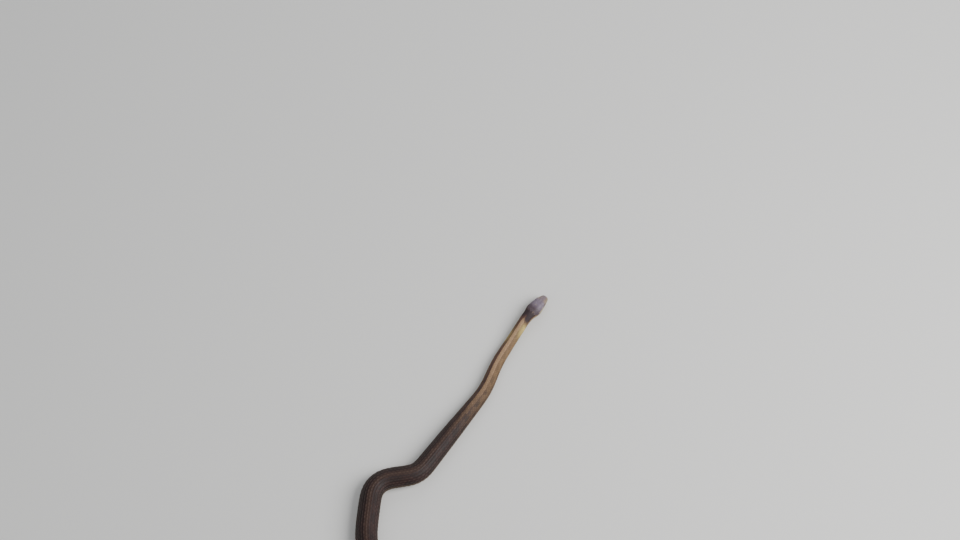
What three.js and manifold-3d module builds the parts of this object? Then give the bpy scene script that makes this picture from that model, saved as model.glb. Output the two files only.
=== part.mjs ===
// A garter snake, life size, lying with its front half out straight and its hind half in bends.
// Millimetres, +Z up. The floor is z = 0 and the belly rests on it. The origin is on the floor,
// in the middle of the snake's bounding box, and +Y runs towards the head.

import * as THREE from 'three';
import { mergeVertices } from 'three/addons/utils/BufferGeometryUtils.js';
import Module from 'manifold-3d';

// Lengths along the back, measured from the tip of the snout
const TOTAL_LENGTH = 600;
const VENT_AT = 456;
const HEAD_END = 24;
const MOUTH_CORNER = 17;

// The way the body lies: where the snout is, the direction from there to the tail,
// and the bends as distance from the snout, length and turn (to the snake's own right is plus)
const SNOUT = { x: 76.1, y: 213.9 };
const START_HEADING = -130.4;
const BENDS = [
  { start: 20, length: 12, turn: 9.3 },
  { start: 52.3, length: 40.1, turn: 10.7 },
  { start: 81.5, length: 37, turn: -15.3 },
  { start: 178.5, length: 27.4, turn: -45.8 },
  { start: 205.1, length: 41.7, turn: 75.6 },
  { start: 248, length: 100, turn: 92 },
  { start: 340, length: 116, turn: -130 },
  { start: 452, length: 98, turn: 112 },
  { start: 546, length: 54, turn: -46 },
];
const ROUTE_STEP = 1;

// Body: half width at each distance from the snout, and the shape of its section
const HALF_WIDTH = [
  [24, 4.75], [32, 4.45], [45, 4.45], [60, 4.75], [90, 5.4], [120, 6.4], [155, 7.6], [200, 8.5], [260, 8.9],
  [330, 8.6], [400, 7.4], [456, 5.8], [500, 4.7], [540, 3.5], [575, 2.2], [592, 1.2], [600, 0.35],
];
const HEIGHT_TO_WIDTH = 0.9;
const WIDEST_AT = 0.43;
const BELLY_FLATTENING = 1.12;
const BODY_SIDES = 18;
const BODY_STEP = 5;
const CUT_GAP = 0.3;

// Where the body is parted, from the neck to the tip of the tail
const LENGTHS = [
  { name: 'neck', end: 78 },
  { name: 'torso_1', end: 168 },
  { name: 'torso_2', end: 226 },
  { name: 'torso_3', end: 300 },
  { name: 'torso_4', end: 344 },
  { name: 'torso_5', end: 398 },
  { name: 'torso_6', end: VENT_AT },
  { name: 'tail_1', end: 504 },
  { name: 'tail_2', end: 552 },
  { name: 'tail_3', end: TOTAL_LENGTH },
];

// Head: half width, and the heights of chin, mouth and crown, at each distance from the snout
const HEAD_HALF_WIDTH = [
  [0, 2.7], [1.5, 3.0], [3, 3.45], [5, 4.0], [7, 4.5], [10, 5.15], [13, 5.8], [15.5, 6.15],
  [18, 5.95], [20.5, 5.3], [22.5, 4.87], [24, 4.75],
];
const CROWN_HEIGHT = [
  [0, 5.7], [2, 6.35], [4, 7.0], [7, 7.8], [10, 8.25], [13, 8.45], [16, 8.5], [20, 8.5], [24, 8.55],
];
const CHIN_HEIGHT = [[0, 1.9], [2, 1.55], [5, 1.0], [10, 0.5], [15, 0.15], [20, 0], [24, 0]];
const MOUTH_HEIGHT = [[0, 3.35], [2, 3.2], [5, 3.1], [10, 3.2], [14, 3.55], [17, 4.05]];
const SNOUT_TIP_HEIGHT = 4.0;
const SNOUT_ROUNDING = 2.2;
const SNOUT_BLUNTNESS = 2.5;
const WIDEST_HEIGHT = 3.68;
const SQUARENESS = [[0, 0.85], [3, 0.72], [8, 0.72], [14, 0.86], [24, 1]];
const HEAD_SIDES = 32;
const HEAD_RINGS = 30;
const HEAD_RING_CROWDING = 1.3;

// The head is held a little off the floor
const LIFT = 2.2;
const LIFT_LEVEL_UNTIL = 20;
const LIFT_LENGTH = 50;

// Mouth, eyes, brows, nostrils
const MOUTH_GAP = 0.3;
const LIP = { rise: 0.14, height: 0.75, spread: 0.5 };
const BROW = { at: 7.1, length: 2.1, height: 6.85, spread: 0.6, rise: 0.45 };
const EYE = { at: 6.8, height: 5.1, radius: 1.55, depth: 1.15, proud: 0.45 };
const NOSTRIL = { at: 1.7, height: 4.9, radius: 0.42 };
const BALL_SIDES = 20;
const BALL_RINGS = 14;
const HALVINGS = 20;

// Shields on top of the head: outlines as [distance from snout, distance from midline]
const SHIELD_RISE = 0.16;
const SHIELD_ROOT = 0.7;
const SHIELD_MARGIN = 0.1;
const SHIELD_BEVEL = 0.12;
const FRONTAL = [[5.25, 0], [5.45, 1.35], [9.4, 1.2], [10.9, 0]];
const PAIRED_SHIELDS = {
  internasal: [[1.35, 0], [1.35, 1.1], [2.75, 2.0], [3.0, 0]],
  prefrontal: [[3.0, 0], [2.75, 2.0], [4.3, 2.95], [5.6, 2.5], [5.45, 1.35], [5.25, 0]],
  supraocular: [[5.5, 1.4], [5.6, 2.6], [7.3, 3.65], [9.3, 3.5], [9.8, 2.2], [9.4, 1.2]],
  parietal: [[10.9, 0], [9.4, 1.2], [9.9, 3.3], [11.6, 4.25], [14.4, 3.9], [16.8, 2.1], [17.1, 0]],
};

// Colours
const BACK_BROWN = 0x4d3a30;
const NECK_BROWN = 0x6b5138;
const HEAD_SLATE = 0x55525c;
const JAW_CREAM = 0xb9ad8e;
const EYE_DARK = 0x1d1410;
const SCALE_ROUGHNESS = 0.55;
const EYE_ROUGHNESS = 0.08;

const wasm = await Module();
wasm.setup();

const clamp01 = (x) => Math.min(1, Math.max(0, x));
const bell = (x, spread) => Math.exp(-((x / spread) ** 2));
const radians = THREE.MathUtils.degToRad;
const UP = new THREE.Vector3(0, 0, 1);

function smooth(x) {
  const t = clamp01(x);
  return t * t * t * (10 - 15 * t + 6 * t * t);
}

// Smooth curve through the points of a table, never past the values it joins
function along(table, at) {
  const last = table.length - 1;
  if (at <= table[0][0]) return table[0][1];
  if (at >= table[last][0]) return table[last][1];
  const i = table.findIndex((point) => point[0] > at) - 1;
  const slope = (k) => (table[k + 1][1] - table[k][1]) / (table[k + 1][0] - table[k][0]);
  const tangent = (k) => {
    if (k === 0) return slope(0);
    if (k === last) return slope(last - 1);
    const before = slope(k - 1);
    const after = slope(k);
    return before * after <= 0 ? 0 : (2 * before * after) / (before + after);
  };
  const width = table[i + 1][0] - table[i][0];
  const t = (at - table[i][0]) / width;
  const keep = (1 + 2 * t) * (1 - t) * (1 - t);
  const fromTangents = t * (1 - t) * width * ((1 - t) * tangent(i) - t * tangent(i + 1));
  return table[i][1] * keep + table[i + 1][1] * (1 - keep) + fromTangents;
}

// Direction from the head to the tail at a distance from the snout
function headingAt(s) {
  const turned = BENDS.reduce((sum, bend) => sum + bend.turn * smooth((s - bend.start) / bend.length), 0);
  return radians(START_HEADING + turned);
}

function walkRoute() {
  const points = [new THREE.Vector2(SNOUT.x, SNOUT.y)];
  for (let i = 0; i < TOTAL_LENGTH / ROUTE_STEP; i += 1) {
    const heading = headingAt((i + 0.5) * ROUTE_STEP);
    const step = new THREE.Vector2(Math.cos(heading), Math.sin(heading)).multiplyScalar(ROUTE_STEP);
    points.push(points[i].clone().add(step));
  }
  return points;
}

const ROUTE = walkRoute();

function liftAt(s) {
  return LIFT * (1 - smooth((s - LIFT_LEVEL_UNTIL) / LIFT_LENGTH));
}

// Place and directions of the body at a distance from the snout
function stationAt(s) {
  const i = Math.max(0, Math.min(ROUTE.length - 2, Math.floor(s / ROUTE_STEP)));
  const middle = ROUTE[i].clone().lerp(ROUTE[i + 1], s / ROUTE_STEP - i);
  const heading = headingAt(s);
  return {
    origin: new THREE.Vector3(middle.x, middle.y, liftAt(s)),
    back: new THREE.Vector3(Math.cos(heading), Math.sin(heading), 0),
    left: new THREE.Vector3(Math.sin(heading), -Math.cos(heading), 0),
  };
}

function place(station, across, up) {
  return station.origin.clone().addScaledVector(station.left, across).addScaledVector(UP, up);
}

// A point of the body's section; the angle goes from the back's midline to the left and under
function bodySection(s, angle) {
  const halfWidth = along(HALF_WIDTH, s);
  const height = 2 * halfWidth * HEIGHT_TO_WIDTH;
  const widest = height * WIDEST_AT;
  const upper = (height - widest) * Math.cos(angle);
  const lower = widest * BELLY_FLATTENING * Math.cos(angle);
  const up = Math.cos(angle) > 0 ? widest + upper : Math.max(0, widest + lower);
  return { across: halfWidth * Math.sin(angle), up };
}

function snoutRounding(s) {
  const inward = 1 - clamp01(s / SNOUT_ROUNDING);
  return (1 - inward ** SNOUT_BLUNTNESS) ** (1 / SNOUT_BLUNTNESS);
}

function power(value, exponent) {
  return Math.sign(value) * Math.abs(value) ** exponent;
}

// A point of the head's section, with lips and brow
function headSection(s, angle) {
  const round = snoutRounding(s);
  const halfWidth = along(HEAD_HALF_WIDTH, s) * round;
  const crown = SNOUT_TIP_HEIGHT + (along(CROWN_HEIGHT, s) - SNOUT_TIP_HEIGHT) * round;
  const chin = SNOUT_TIP_HEIGHT + (along(CHIN_HEIGHT, s) - SNOUT_TIP_HEIGHT) * round;
  const widest = SNOUT_TIP_HEIGHT + (WIDEST_HEIGHT - SNOUT_TIP_HEIGHT) * round;
  const toBody = smooth((s - MOUTH_CORNER) / (HEAD_END - MOUTH_CORNER));
  const square = along(SQUARENESS, s);
  const rise = power(Math.cos(angle), square);
  const flattening = 1 + (BELLY_FLATTENING - 1) * toBody;
  const lower = Math.max(chin, widest + (widest - chin) * rise * flattening);
  const up = rise > 0 ? widest + (crown - widest) * rise : lower;
  const mouth = along(MOUTH_HEIGHT, s);
  const lips = bell(Math.abs(up - mouth) - LIP.height, LIP.spread) * LIP.rise * (1 - toBody);
  const brow = bell(s - BROW.at, BROW.length) * bell(up - BROW.height, BROW.spread) * BROW.rise;
  const side = Math.sign(Math.sin(angle)) * (lips + brow) * round;
  return { across: halfWidth * power(Math.sin(angle), square) + side, up };
}

// Height of the crown over a point that is seen from above
function crownHeight(s, across) {
  const square = along(SQUARENESS, s);
  const halfWidth = along(HEAD_HALF_WIDTH, s) * snoutRounding(s);
  const angle = Math.asin(clamp01(Math.abs(across) / halfWidth) ** (1 / square));
  return headSection(s, angle).up;
}

function ring(station, section, s, sides) {
  return Array.from({ length: sides }, (_, k) => {
    const { across, up } = section(s, (2 * Math.PI * k) / sides);
    return place(station, across, up);
  });
}

// Closed surface through rings of equal count, with a fan over each end
function loft(rings, firstMiddle, lastMiddle) {
  const sides = rings[0].length;
  const points = rings.flat().concat([firstMiddle, lastMiddle]);
  const first = points.length - 2;
  const last = points.length - 1;
  const lastRing = (rings.length - 1) * sides;
  const faces = [];
  for (let k = 0; k < sides; k += 1) {
    const next = (k + 1) % sides;
    faces.push(first, k, next);
    faces.push(last, lastRing + next, lastRing + k);
    for (let i = 0; i < lastRing; i += sides) {
      faces.push(i + k, i + sides + k, i + sides + next);
      faces.push(i + k, i + sides + next, i + next);
    }
  }
  const geometry = new THREE.BufferGeometry();
  geometry.setFromPoints(points);
  geometry.setIndex(faces);
  return geometry;
}

function middleOf(points) {
  const sum = points.reduce((total, point) => total.add(point), new THREE.Vector3());
  return sum.divideScalar(points.length);
}

function toSolid(geometry) {
  const bare = geometry.clone();
  bare.deleteAttribute('normal');
  bare.deleteAttribute('uv');
  const merged = mergeVertices(bare);
  const mesh = new wasm.Mesh({
    numProp: 3,
    vertProperties: new Float32Array(merged.attributes.position.array),
    triVerts: new Uint32Array(merged.index.array),
  });
  return new wasm.Manifold(mesh);
}

function toGeometry(solid) {
  const mesh = solid.getMesh();
  const geometry = new THREE.BufferGeometry();
  geometry.setAttribute('position', new THREE.BufferAttribute(new Float32Array(mesh.vertProperties), 3));
  geometry.setIndex(new THREE.BufferAttribute(new Uint32Array(mesh.triVerts), 1));
  return geometry;
}

function named(name, geometry, color, roughness) {
  geometry.computeVertexNormals();
  const mesh = new THREE.Mesh(geometry, new THREE.MeshStandardMaterial({ color, roughness, metalness: 0 }));
  mesh.name = name;
  return mesh;
}

// A length of the body, parted from its neighbours by flat cuts square to the back
function bodyLength(start, end) {
  const count = Math.ceil((end - start) / BODY_STEP);
  const rings = [];
  for (let i = 0; i <= count; i += 1) {
    const s = start + ((end - start) * i) / count;
    const station = stationAt(s);
    if (i === 0) station.origin.addScaledVector(station.back, CUT_GAP / 2);
    if (i === count && end < TOTAL_LENGTH) station.origin.addScaledVector(station.back, -CUT_GAP / 2);
    rings.push(ring(station, bodySection, s, BODY_SIDES));
  }
  return loft(rings, middleOf(rings[0]), middleOf(rings[count]));
}

function wholeHead() {
  const rings = [];
  for (let i = 1; i <= HEAD_RINGS; i += 1) {
    const s = HEAD_END * (i / HEAD_RINGS) ** HEAD_RING_CROWDING;
    const station = stationAt(s);
    if (i === HEAD_RINGS) station.origin.addScaledVector(station.back, -CUT_GAP / 2);
    rings.push(ring(station, headSection, s, HEAD_SIDES));
  }
  const tip = place(stationAt(0), 0, SNOUT_TIP_HEIGHT);
  return loft(rings, tip, middleOf(rings[HEAD_RINGS - 1]));
}

// Corners of an outline with a point halfway along each side, all moved towards its middle
function drawnIn(outline, distance) {
  const full = outline.flatMap((point, k) => {
    const next = outline[(k + 1) % outline.length];
    return [point, [(point[0] + next[0]) / 2, (point[1] + next[1]) / 2]];
  });
  const middle = [0, 1].map((axis) => full.reduce((sum, point) => sum + point[axis], 0) / full.length);
  return full.map((point) => {
    const length = Math.hypot(point[0] - middle[0], point[1] - middle[1]);
    const keep = (length - distance) / length;
    return [0, 1].map((axis) => middle[axis] + (point[axis] - middle[axis]) * keep);
  });
}

// A thin plate that follows the crown, its root sunk in the head and its rim bevelled
function shield(outline) {
  const raise = ([s, across], rise) => place(stationAt(s), across, crownHeight(s, across) + rise);
  const onCrown = (points, rise) => points.map((point) => raise(point, rise));
  const rim = drawnIn(outline, SHIELD_MARGIN);
  const top = drawnIn(outline, SHIELD_MARGIN + SHIELD_BEVEL);
  const middle = [0, 1].map((axis) => top.reduce((sum, point) => sum + point[axis], 0) / top.length);
  const inner = top.map((point) => [0, 1].map((axis) => (point[axis] + middle[axis]) / 2));
  const rings = [
    onCrown(rim, -SHIELD_ROOT),
    onCrown(rim, 0),
    onCrown(top, SHIELD_RISE),
    onCrown(inner, SHIELD_RISE),
  ];
  return loft(rings, middleOf(rings[0]), raise(middle, SHIELD_RISE));
}

function mirrored(outline) {
  return outline.map(([s, across]) => [s, -across]);
}

function facingOut(geometry) {
  const solid = toSolid(geometry);
  if (solid.volume() > 0) return geometry;
  const index = geometry.index.array;
  for (let k = 0; k < index.length; k += 3) [index[k], index[k + 1]] = [index[k + 1], index[k]];
  return geometry;
}

// Thin curved slab that parts the lower jaw: along the mouth, then down behind its corner
function mouthCut() {
  const half = MOUTH_GAP / 2;
  const reach = 2 * along(HEAD_HALF_WIDTH, MOUTH_CORNER);
  const line = [[-1, MOUTH_HEIGHT[0][1]]];
  for (let s = 0; s <= MOUTH_CORNER; s += 1) line.push([s, along(MOUTH_HEIGHT, s)]);
  const corner = line[line.length - 1];
  const upper = line.map(([s, up]) => [s, up + half]);
  const lower = line.slice(0, -1).map(([s, up]) => [s, up - half]);
  const outline = [
    ...upper,
    [corner[0] + half, corner[1] + half],
    [corner[0] + half, -LIFT],
    [corner[0] - half, -LIFT],
    [corner[0] - half, corner[1] - half],
    ...lower.reverse(),
  ];
  const shape = new THREE.Shape(outline.map(([s, up]) => new THREE.Vector2(s, up)));
  const slab = new THREE.ExtrudeGeometry(shape, { depth: 2 * reach, bevelEnabled: false, steps: 1 });
  const { origin, back } = stationAt(0);
  const across = back.clone().cross(UP);
  const turned = new THREE.Matrix4().makeBasis(back, UP, across);
  turned.setPosition(origin.clone().addScaledVector(across, -reach));
  return slab.applyMatrix4(turned);
}

function ball(radius, centre) {
  return new THREE.SphereGeometry(radius, BALL_SIDES, BALL_RINGS).translate(centre.x, centre.y, centre.z);
}

// The eye, or with a gap its socket: a ball pressed flatter towards the middle of the head
function eyeBall(side, gap) {
  const across = sideOfHead(EYE.at, EYE.height) + EYE.proud - EYE.depth;
  const { origin, left, back } = stationAt(EYE.at);
  const centre = origin.clone().addScaledVector(left, side * across);
  const lens = new THREE.SphereGeometry(1, BALL_SIDES, BALL_RINGS);
  lens.scale(EYE.radius + gap, EYE.radius + gap, EYE.depth + gap);
  const turned = new THREE.Matrix4().makeBasis(back, UP, back.clone().cross(UP));
  turned.setPosition(centre.addScaledVector(UP, EYE.height));
  return lens.applyMatrix4(turned);
}

// Where the side of the head is at a given height
function sideOfHead(s, height) {
  const quarter = Math.PI / 2;
  let above = 0;
  let below = quarter;
  for (let k = 0; k < HALVINGS; k += 1) {
    const angle = (above + below) / 2;
    if (headSection(s, angle).up > height) above = angle;
    else below = angle;
  }
  return headSection(s, above).across;
}

function buildHead() {
  let solid = toSolid(facingOut(wholeHead()));
  const shields = [FRONTAL.concat(mirrored(FRONTAL).slice(1, -1).reverse())];
  Object.values(PAIRED_SHIELDS).forEach((outline) => shields.push(outline, mirrored(outline)));
  shields.forEach((outline) => {
    solid = solid.add(toSolid(facingOut(shield(outline))));
  });
  [-1, 1].forEach((side) => {
    solid = solid.subtract(toSolid(eyeBall(side, CUT_GAP)));
    const nostril = place(stationAt(NOSTRIL.at), side * sideOfHead(NOSTRIL.at, NOSTRIL.height), NOSTRIL.height);
    solid = solid.subtract(toSolid(ball(NOSTRIL.radius, nostril)));
  });
  solid = solid.subtract(toSolid(facingOut(mouthCut())));
  const pieces = solid.decompose().sort((a, b) => b.volume() - a.volume());
  return { head: pieces[0], jaw: pieces[1] };
}

const snake = new THREE.Group();
const { head, jaw } = buildHead();
snake.add(named('head', toGeometry(head), HEAD_SLATE, SCALE_ROUGHNESS));
snake.add(named('lower_jaw', toGeometry(jaw), JAW_CREAM, SCALE_ROUGHNESS));
[['eye_left', 1], ['eye_right', -1]].forEach(([name, side]) => {
  snake.add(named(name, eyeBall(side, 0), EYE_DARK, EYE_ROUGHNESS));
});
LENGTHS.forEach(({ name, end }, k) => {
  const start = k === 0 ? HEAD_END : LENGTHS[k - 1].end;
  const color = k < 2 ? NECK_BROWN : BACK_BROWN;
  snake.add(named(name, facingOut(bodyLength(start, end)), color, SCALE_ROUGHNESS));
});

export default snake;
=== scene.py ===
"""A garter snake, life size and still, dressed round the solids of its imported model.

Sizes are in millimetres, measured on the animal, and become metres as each mesh is made. A place on
the hide has two numbers: s, the distance from the tip of the snout along the back, and f, the share
of half the girth from the middle of the back (0) to the middle of the belly (1), minus on the right.
"""

import logging
import math
from collections.abc import Callable
from dataclasses import dataclass, field, fields
from enum import Enum
from functools import cached_property, partial

import bpy
import numpy as np
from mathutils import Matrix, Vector
from mathutils.kdtree import KDTree

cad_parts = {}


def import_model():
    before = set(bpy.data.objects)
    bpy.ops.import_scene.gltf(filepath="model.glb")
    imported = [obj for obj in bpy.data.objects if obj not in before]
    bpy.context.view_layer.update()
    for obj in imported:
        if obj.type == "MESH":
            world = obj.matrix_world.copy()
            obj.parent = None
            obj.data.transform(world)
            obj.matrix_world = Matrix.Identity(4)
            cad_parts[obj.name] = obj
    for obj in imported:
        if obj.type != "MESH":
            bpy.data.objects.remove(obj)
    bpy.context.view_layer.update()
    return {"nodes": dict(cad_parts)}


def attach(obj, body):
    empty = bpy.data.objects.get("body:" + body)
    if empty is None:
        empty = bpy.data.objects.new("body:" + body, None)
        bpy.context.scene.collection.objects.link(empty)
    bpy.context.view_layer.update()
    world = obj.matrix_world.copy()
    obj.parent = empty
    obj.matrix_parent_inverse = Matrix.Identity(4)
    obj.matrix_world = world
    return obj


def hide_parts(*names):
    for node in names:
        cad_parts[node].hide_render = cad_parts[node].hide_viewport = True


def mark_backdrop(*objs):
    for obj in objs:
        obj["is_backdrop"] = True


MM = 0.001
TINY = 1e-12
EVEN_TINT = 0.5
SIDES = (1, -1)
BODY = "root"
BAKE_MAP = "OFBake"
log = logging.getLogger("garter_snake")

Array = np.ndarray
Pair = tuple[float, float]
Table = tuple[Pair, ...]
Colour = tuple[float, float, float]
Piece = bpy.types.Object
Mesh = bpy.types.Mesh
Items = bpy.types.bpy_prop_collection
Node = bpy.types.Node
Socket = bpy.types.NodeSocket


def ease(x: Array | float) -> Array:
    """Return a smooth rise from 0 at x = 0 to 1 at x = 1, with level ends."""
    t = np.clip(x, 0.0, 1.0)
    return t * t * t * (10 - 15 * t + 6 * t * t)


def bell(x: Array, spread: float) -> Array:
    """Return a smooth bump of height 1 at x = 0."""
    return np.exp(-((x / spread) ** 2))


def power(value: Array, exponent: Array | float) -> Array:
    """Return the value raised to the exponent, with its sign kept."""
    return np.sign(value) * np.abs(value) ** exponent


def unit(vectors: Array) -> Array:
    """Return vectors of length 1."""
    return vectors / np.maximum(np.linalg.norm(vectors, axis=-1, keepdims=True), TINY)


def along(table: Table, at: Array | float) -> Array:
    """Read a smooth curve through the points of a table, never past the values it joins.

    Args:
        table: Pairs of distance and value.
        at: Distances to read.

    Returns:
        The values at those distances.
    """
    x, y = np.array(table, float).T
    slope = np.diff(y) / np.diff(x)
    tangent = np.concatenate([slope[:1], np.zeros(len(x) - 2), slope[-1:]])
    before, after = slope[:-1], slope[1:]
    same_way = before * after > 0
    tangent[1:-1][same_way] = (2 * before * after / np.where(same_way, before + after, 1.0))[same_way]
    at = np.clip(at, x[0], x[-1])
    i = np.clip(np.searchsorted(x, at, side="right") - 1, 0, len(x) - 2)
    width = x[i + 1] - x[i]
    t = (at - x[i]) / width
    keep = (1 + 2 * t) * (1 - t) ** 2
    bent = t * (1 - t) * width * ((1 - t) * tangent[i] - t * tangent[i + 1])
    return y[i] * keep + y[i + 1] * (1 - keep) + bent


@dataclass(frozen=True)
class Ramp:
    """A smooth step between 0 and 1 along some measure: where it starts and how long it is."""

    start: float
    length: float

    def rise(self, at: Array) -> Array:
        """Return the step up, from 0 to 1."""
        return ease((at - self.start) / self.length)

    def fall(self, at: Array) -> Array:
        """Return the step down, from 1 to 0."""
        return 1 - self.rise(at)


@dataclass(frozen=True)
class Lie:
    """How the body lies on the floor: the snout's place and each bend's start, length and turn."""

    snout: Pair = (76.1, 213.9)
    start_heading: float = -130.4
    total: float = 600.0
    step: float = 1.0
    bends: tuple[tuple[float, float, float], ...] = (
        (20, 12, 9.3), (52.3, 40.1, 10.7), (81.5, 37, -15.3), (178.5, 27.4, -45.8), (205.1, 41.7, 75.6),
        (248, 100, 92), (340, 116, -130), (452, 98, 112), (546, 54, -46),
    )
    lift: float = 2.2
    lowering: Ramp = Ramp(20.0, 50.0)

    def heading(self, s: Array) -> Array:
        """Return the direction from head to tail, in radians, at distances s."""
        turned = sum(turn * Ramp(start, length).rise(s) for start, length, turn in self.bends)
        return np.radians(self.start_heading + turned)

    @cached_property
    def walk(self) -> Array:
        """Walk the middle line.

        Returns:
            Its points, one to each step.
        """
        heading = self.heading(np.arange(self.step / 2, self.total, self.step))
        steps = np.stack([np.cos(heading), np.sin(heading)], 1) * self.step
        return np.vstack([self.snout, self.snout + np.cumsum(steps, 0)])

    def frame(self, s: Array) -> tuple[Array, Array]:
        """Place the body's cross sections.

        Args:
            s: Distances from the snout.

        Returns:
            The points under the back at floor level or the lift, and the unit vectors to the left.
        """
        stations = np.arange(len(self.walk)) * self.step
        heading = self.heading(s)
        x, y = (np.interp(s, stations, self.walk[:, axis]) for axis in (0, 1))
        z = self.lift * self.lowering.fall(s)
        left = np.stack([np.sin(heading), -np.cos(heading), np.zeros_like(heading)], -1)
        return np.stack([x, y, z], -1), left


@dataclass(frozen=True)
class HeadShape:
    """Sizes of the head: widths, heights of chin, mouth and crown, lips, brow, eye and nostril."""

    end: float = 24.0
    mouth_corner: float = 17.0
    half_width: Table = (
        (0, 2.7), (1.5, 3.0), (3, 3.45), (5, 4.0), (7, 4.5), (10, 5.15), (13, 5.8), (15.5, 6.15),
        (18, 5.95), (20.5, 5.3), (22.5, 4.87), (24, 4.75),
    )
    crown: Table = (
        (0, 5.7), (2, 6.35), (4, 7.0), (7, 7.8), (10, 8.25), (13, 8.45), (16, 8.5), (20, 8.5), (24, 8.55),
    )
    chin: Table = ((0, 1.9), (2, 1.55), (5, 1.0), (10, 0.5), (15, 0.15), (20, 0), (24, 0))
    mouth: Table = ((0, 3.35), (2, 3.2), (5, 3.1), (10, 3.2), (14, 3.55), (17, 4.05))
    tip_height: float = 4.0
    rounding: float = 2.2
    bluntness: float = 2.5
    widest_height: float = 3.68
    squareness: Table = ((0, 0.85), (3, 0.72), (8, 0.72), (14, 0.86), (24, 1))
    lip_rise: float = 0.14
    lip_height: float = 0.75
    lip_spread: float = 0.5
    brow_at: float = 7.1
    brow_length: float = 2.1
    brow_height: float = 6.85
    brow_spread: float = 0.6
    brow_rise: float = 0.45
    eye_at: float = 6.8
    eye_height: float = 5.1
    nostril_at: float = 1.7
    nostril_height: float = 4.9


@dataclass(frozen=True)
class BodyShape:
    """Sizes of the body: half width along it, and the shape of its section."""

    vent: float = 456.0
    half_width: Table = (
        (24, 4.75), (32, 4.45), (45, 4.45), (60, 4.75), (90, 5.4), (120, 6.4), (155, 7.6), (200, 8.5),
        (260, 8.9), (330, 8.6), (400, 7.4), (456, 5.8), (500, 4.7), (540, 3.5), (575, 2.2), (592, 1.2),
        (600, 0.35),
    )
    height_to_width: float = 0.9
    widest_at: float = 0.43
    belly_flattening: float = 1.12
    tip_rounding: float = 1.0
    tip_closing: float = 0.999


class Zone(Enum):
    """Which measure places a point round the head, beside its distance from the snout."""

    TOP = "distance from the midline, over the crown"
    SIDE = "height over the mouth"
    UNDER = "distance from the midline, under the chin"


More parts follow.
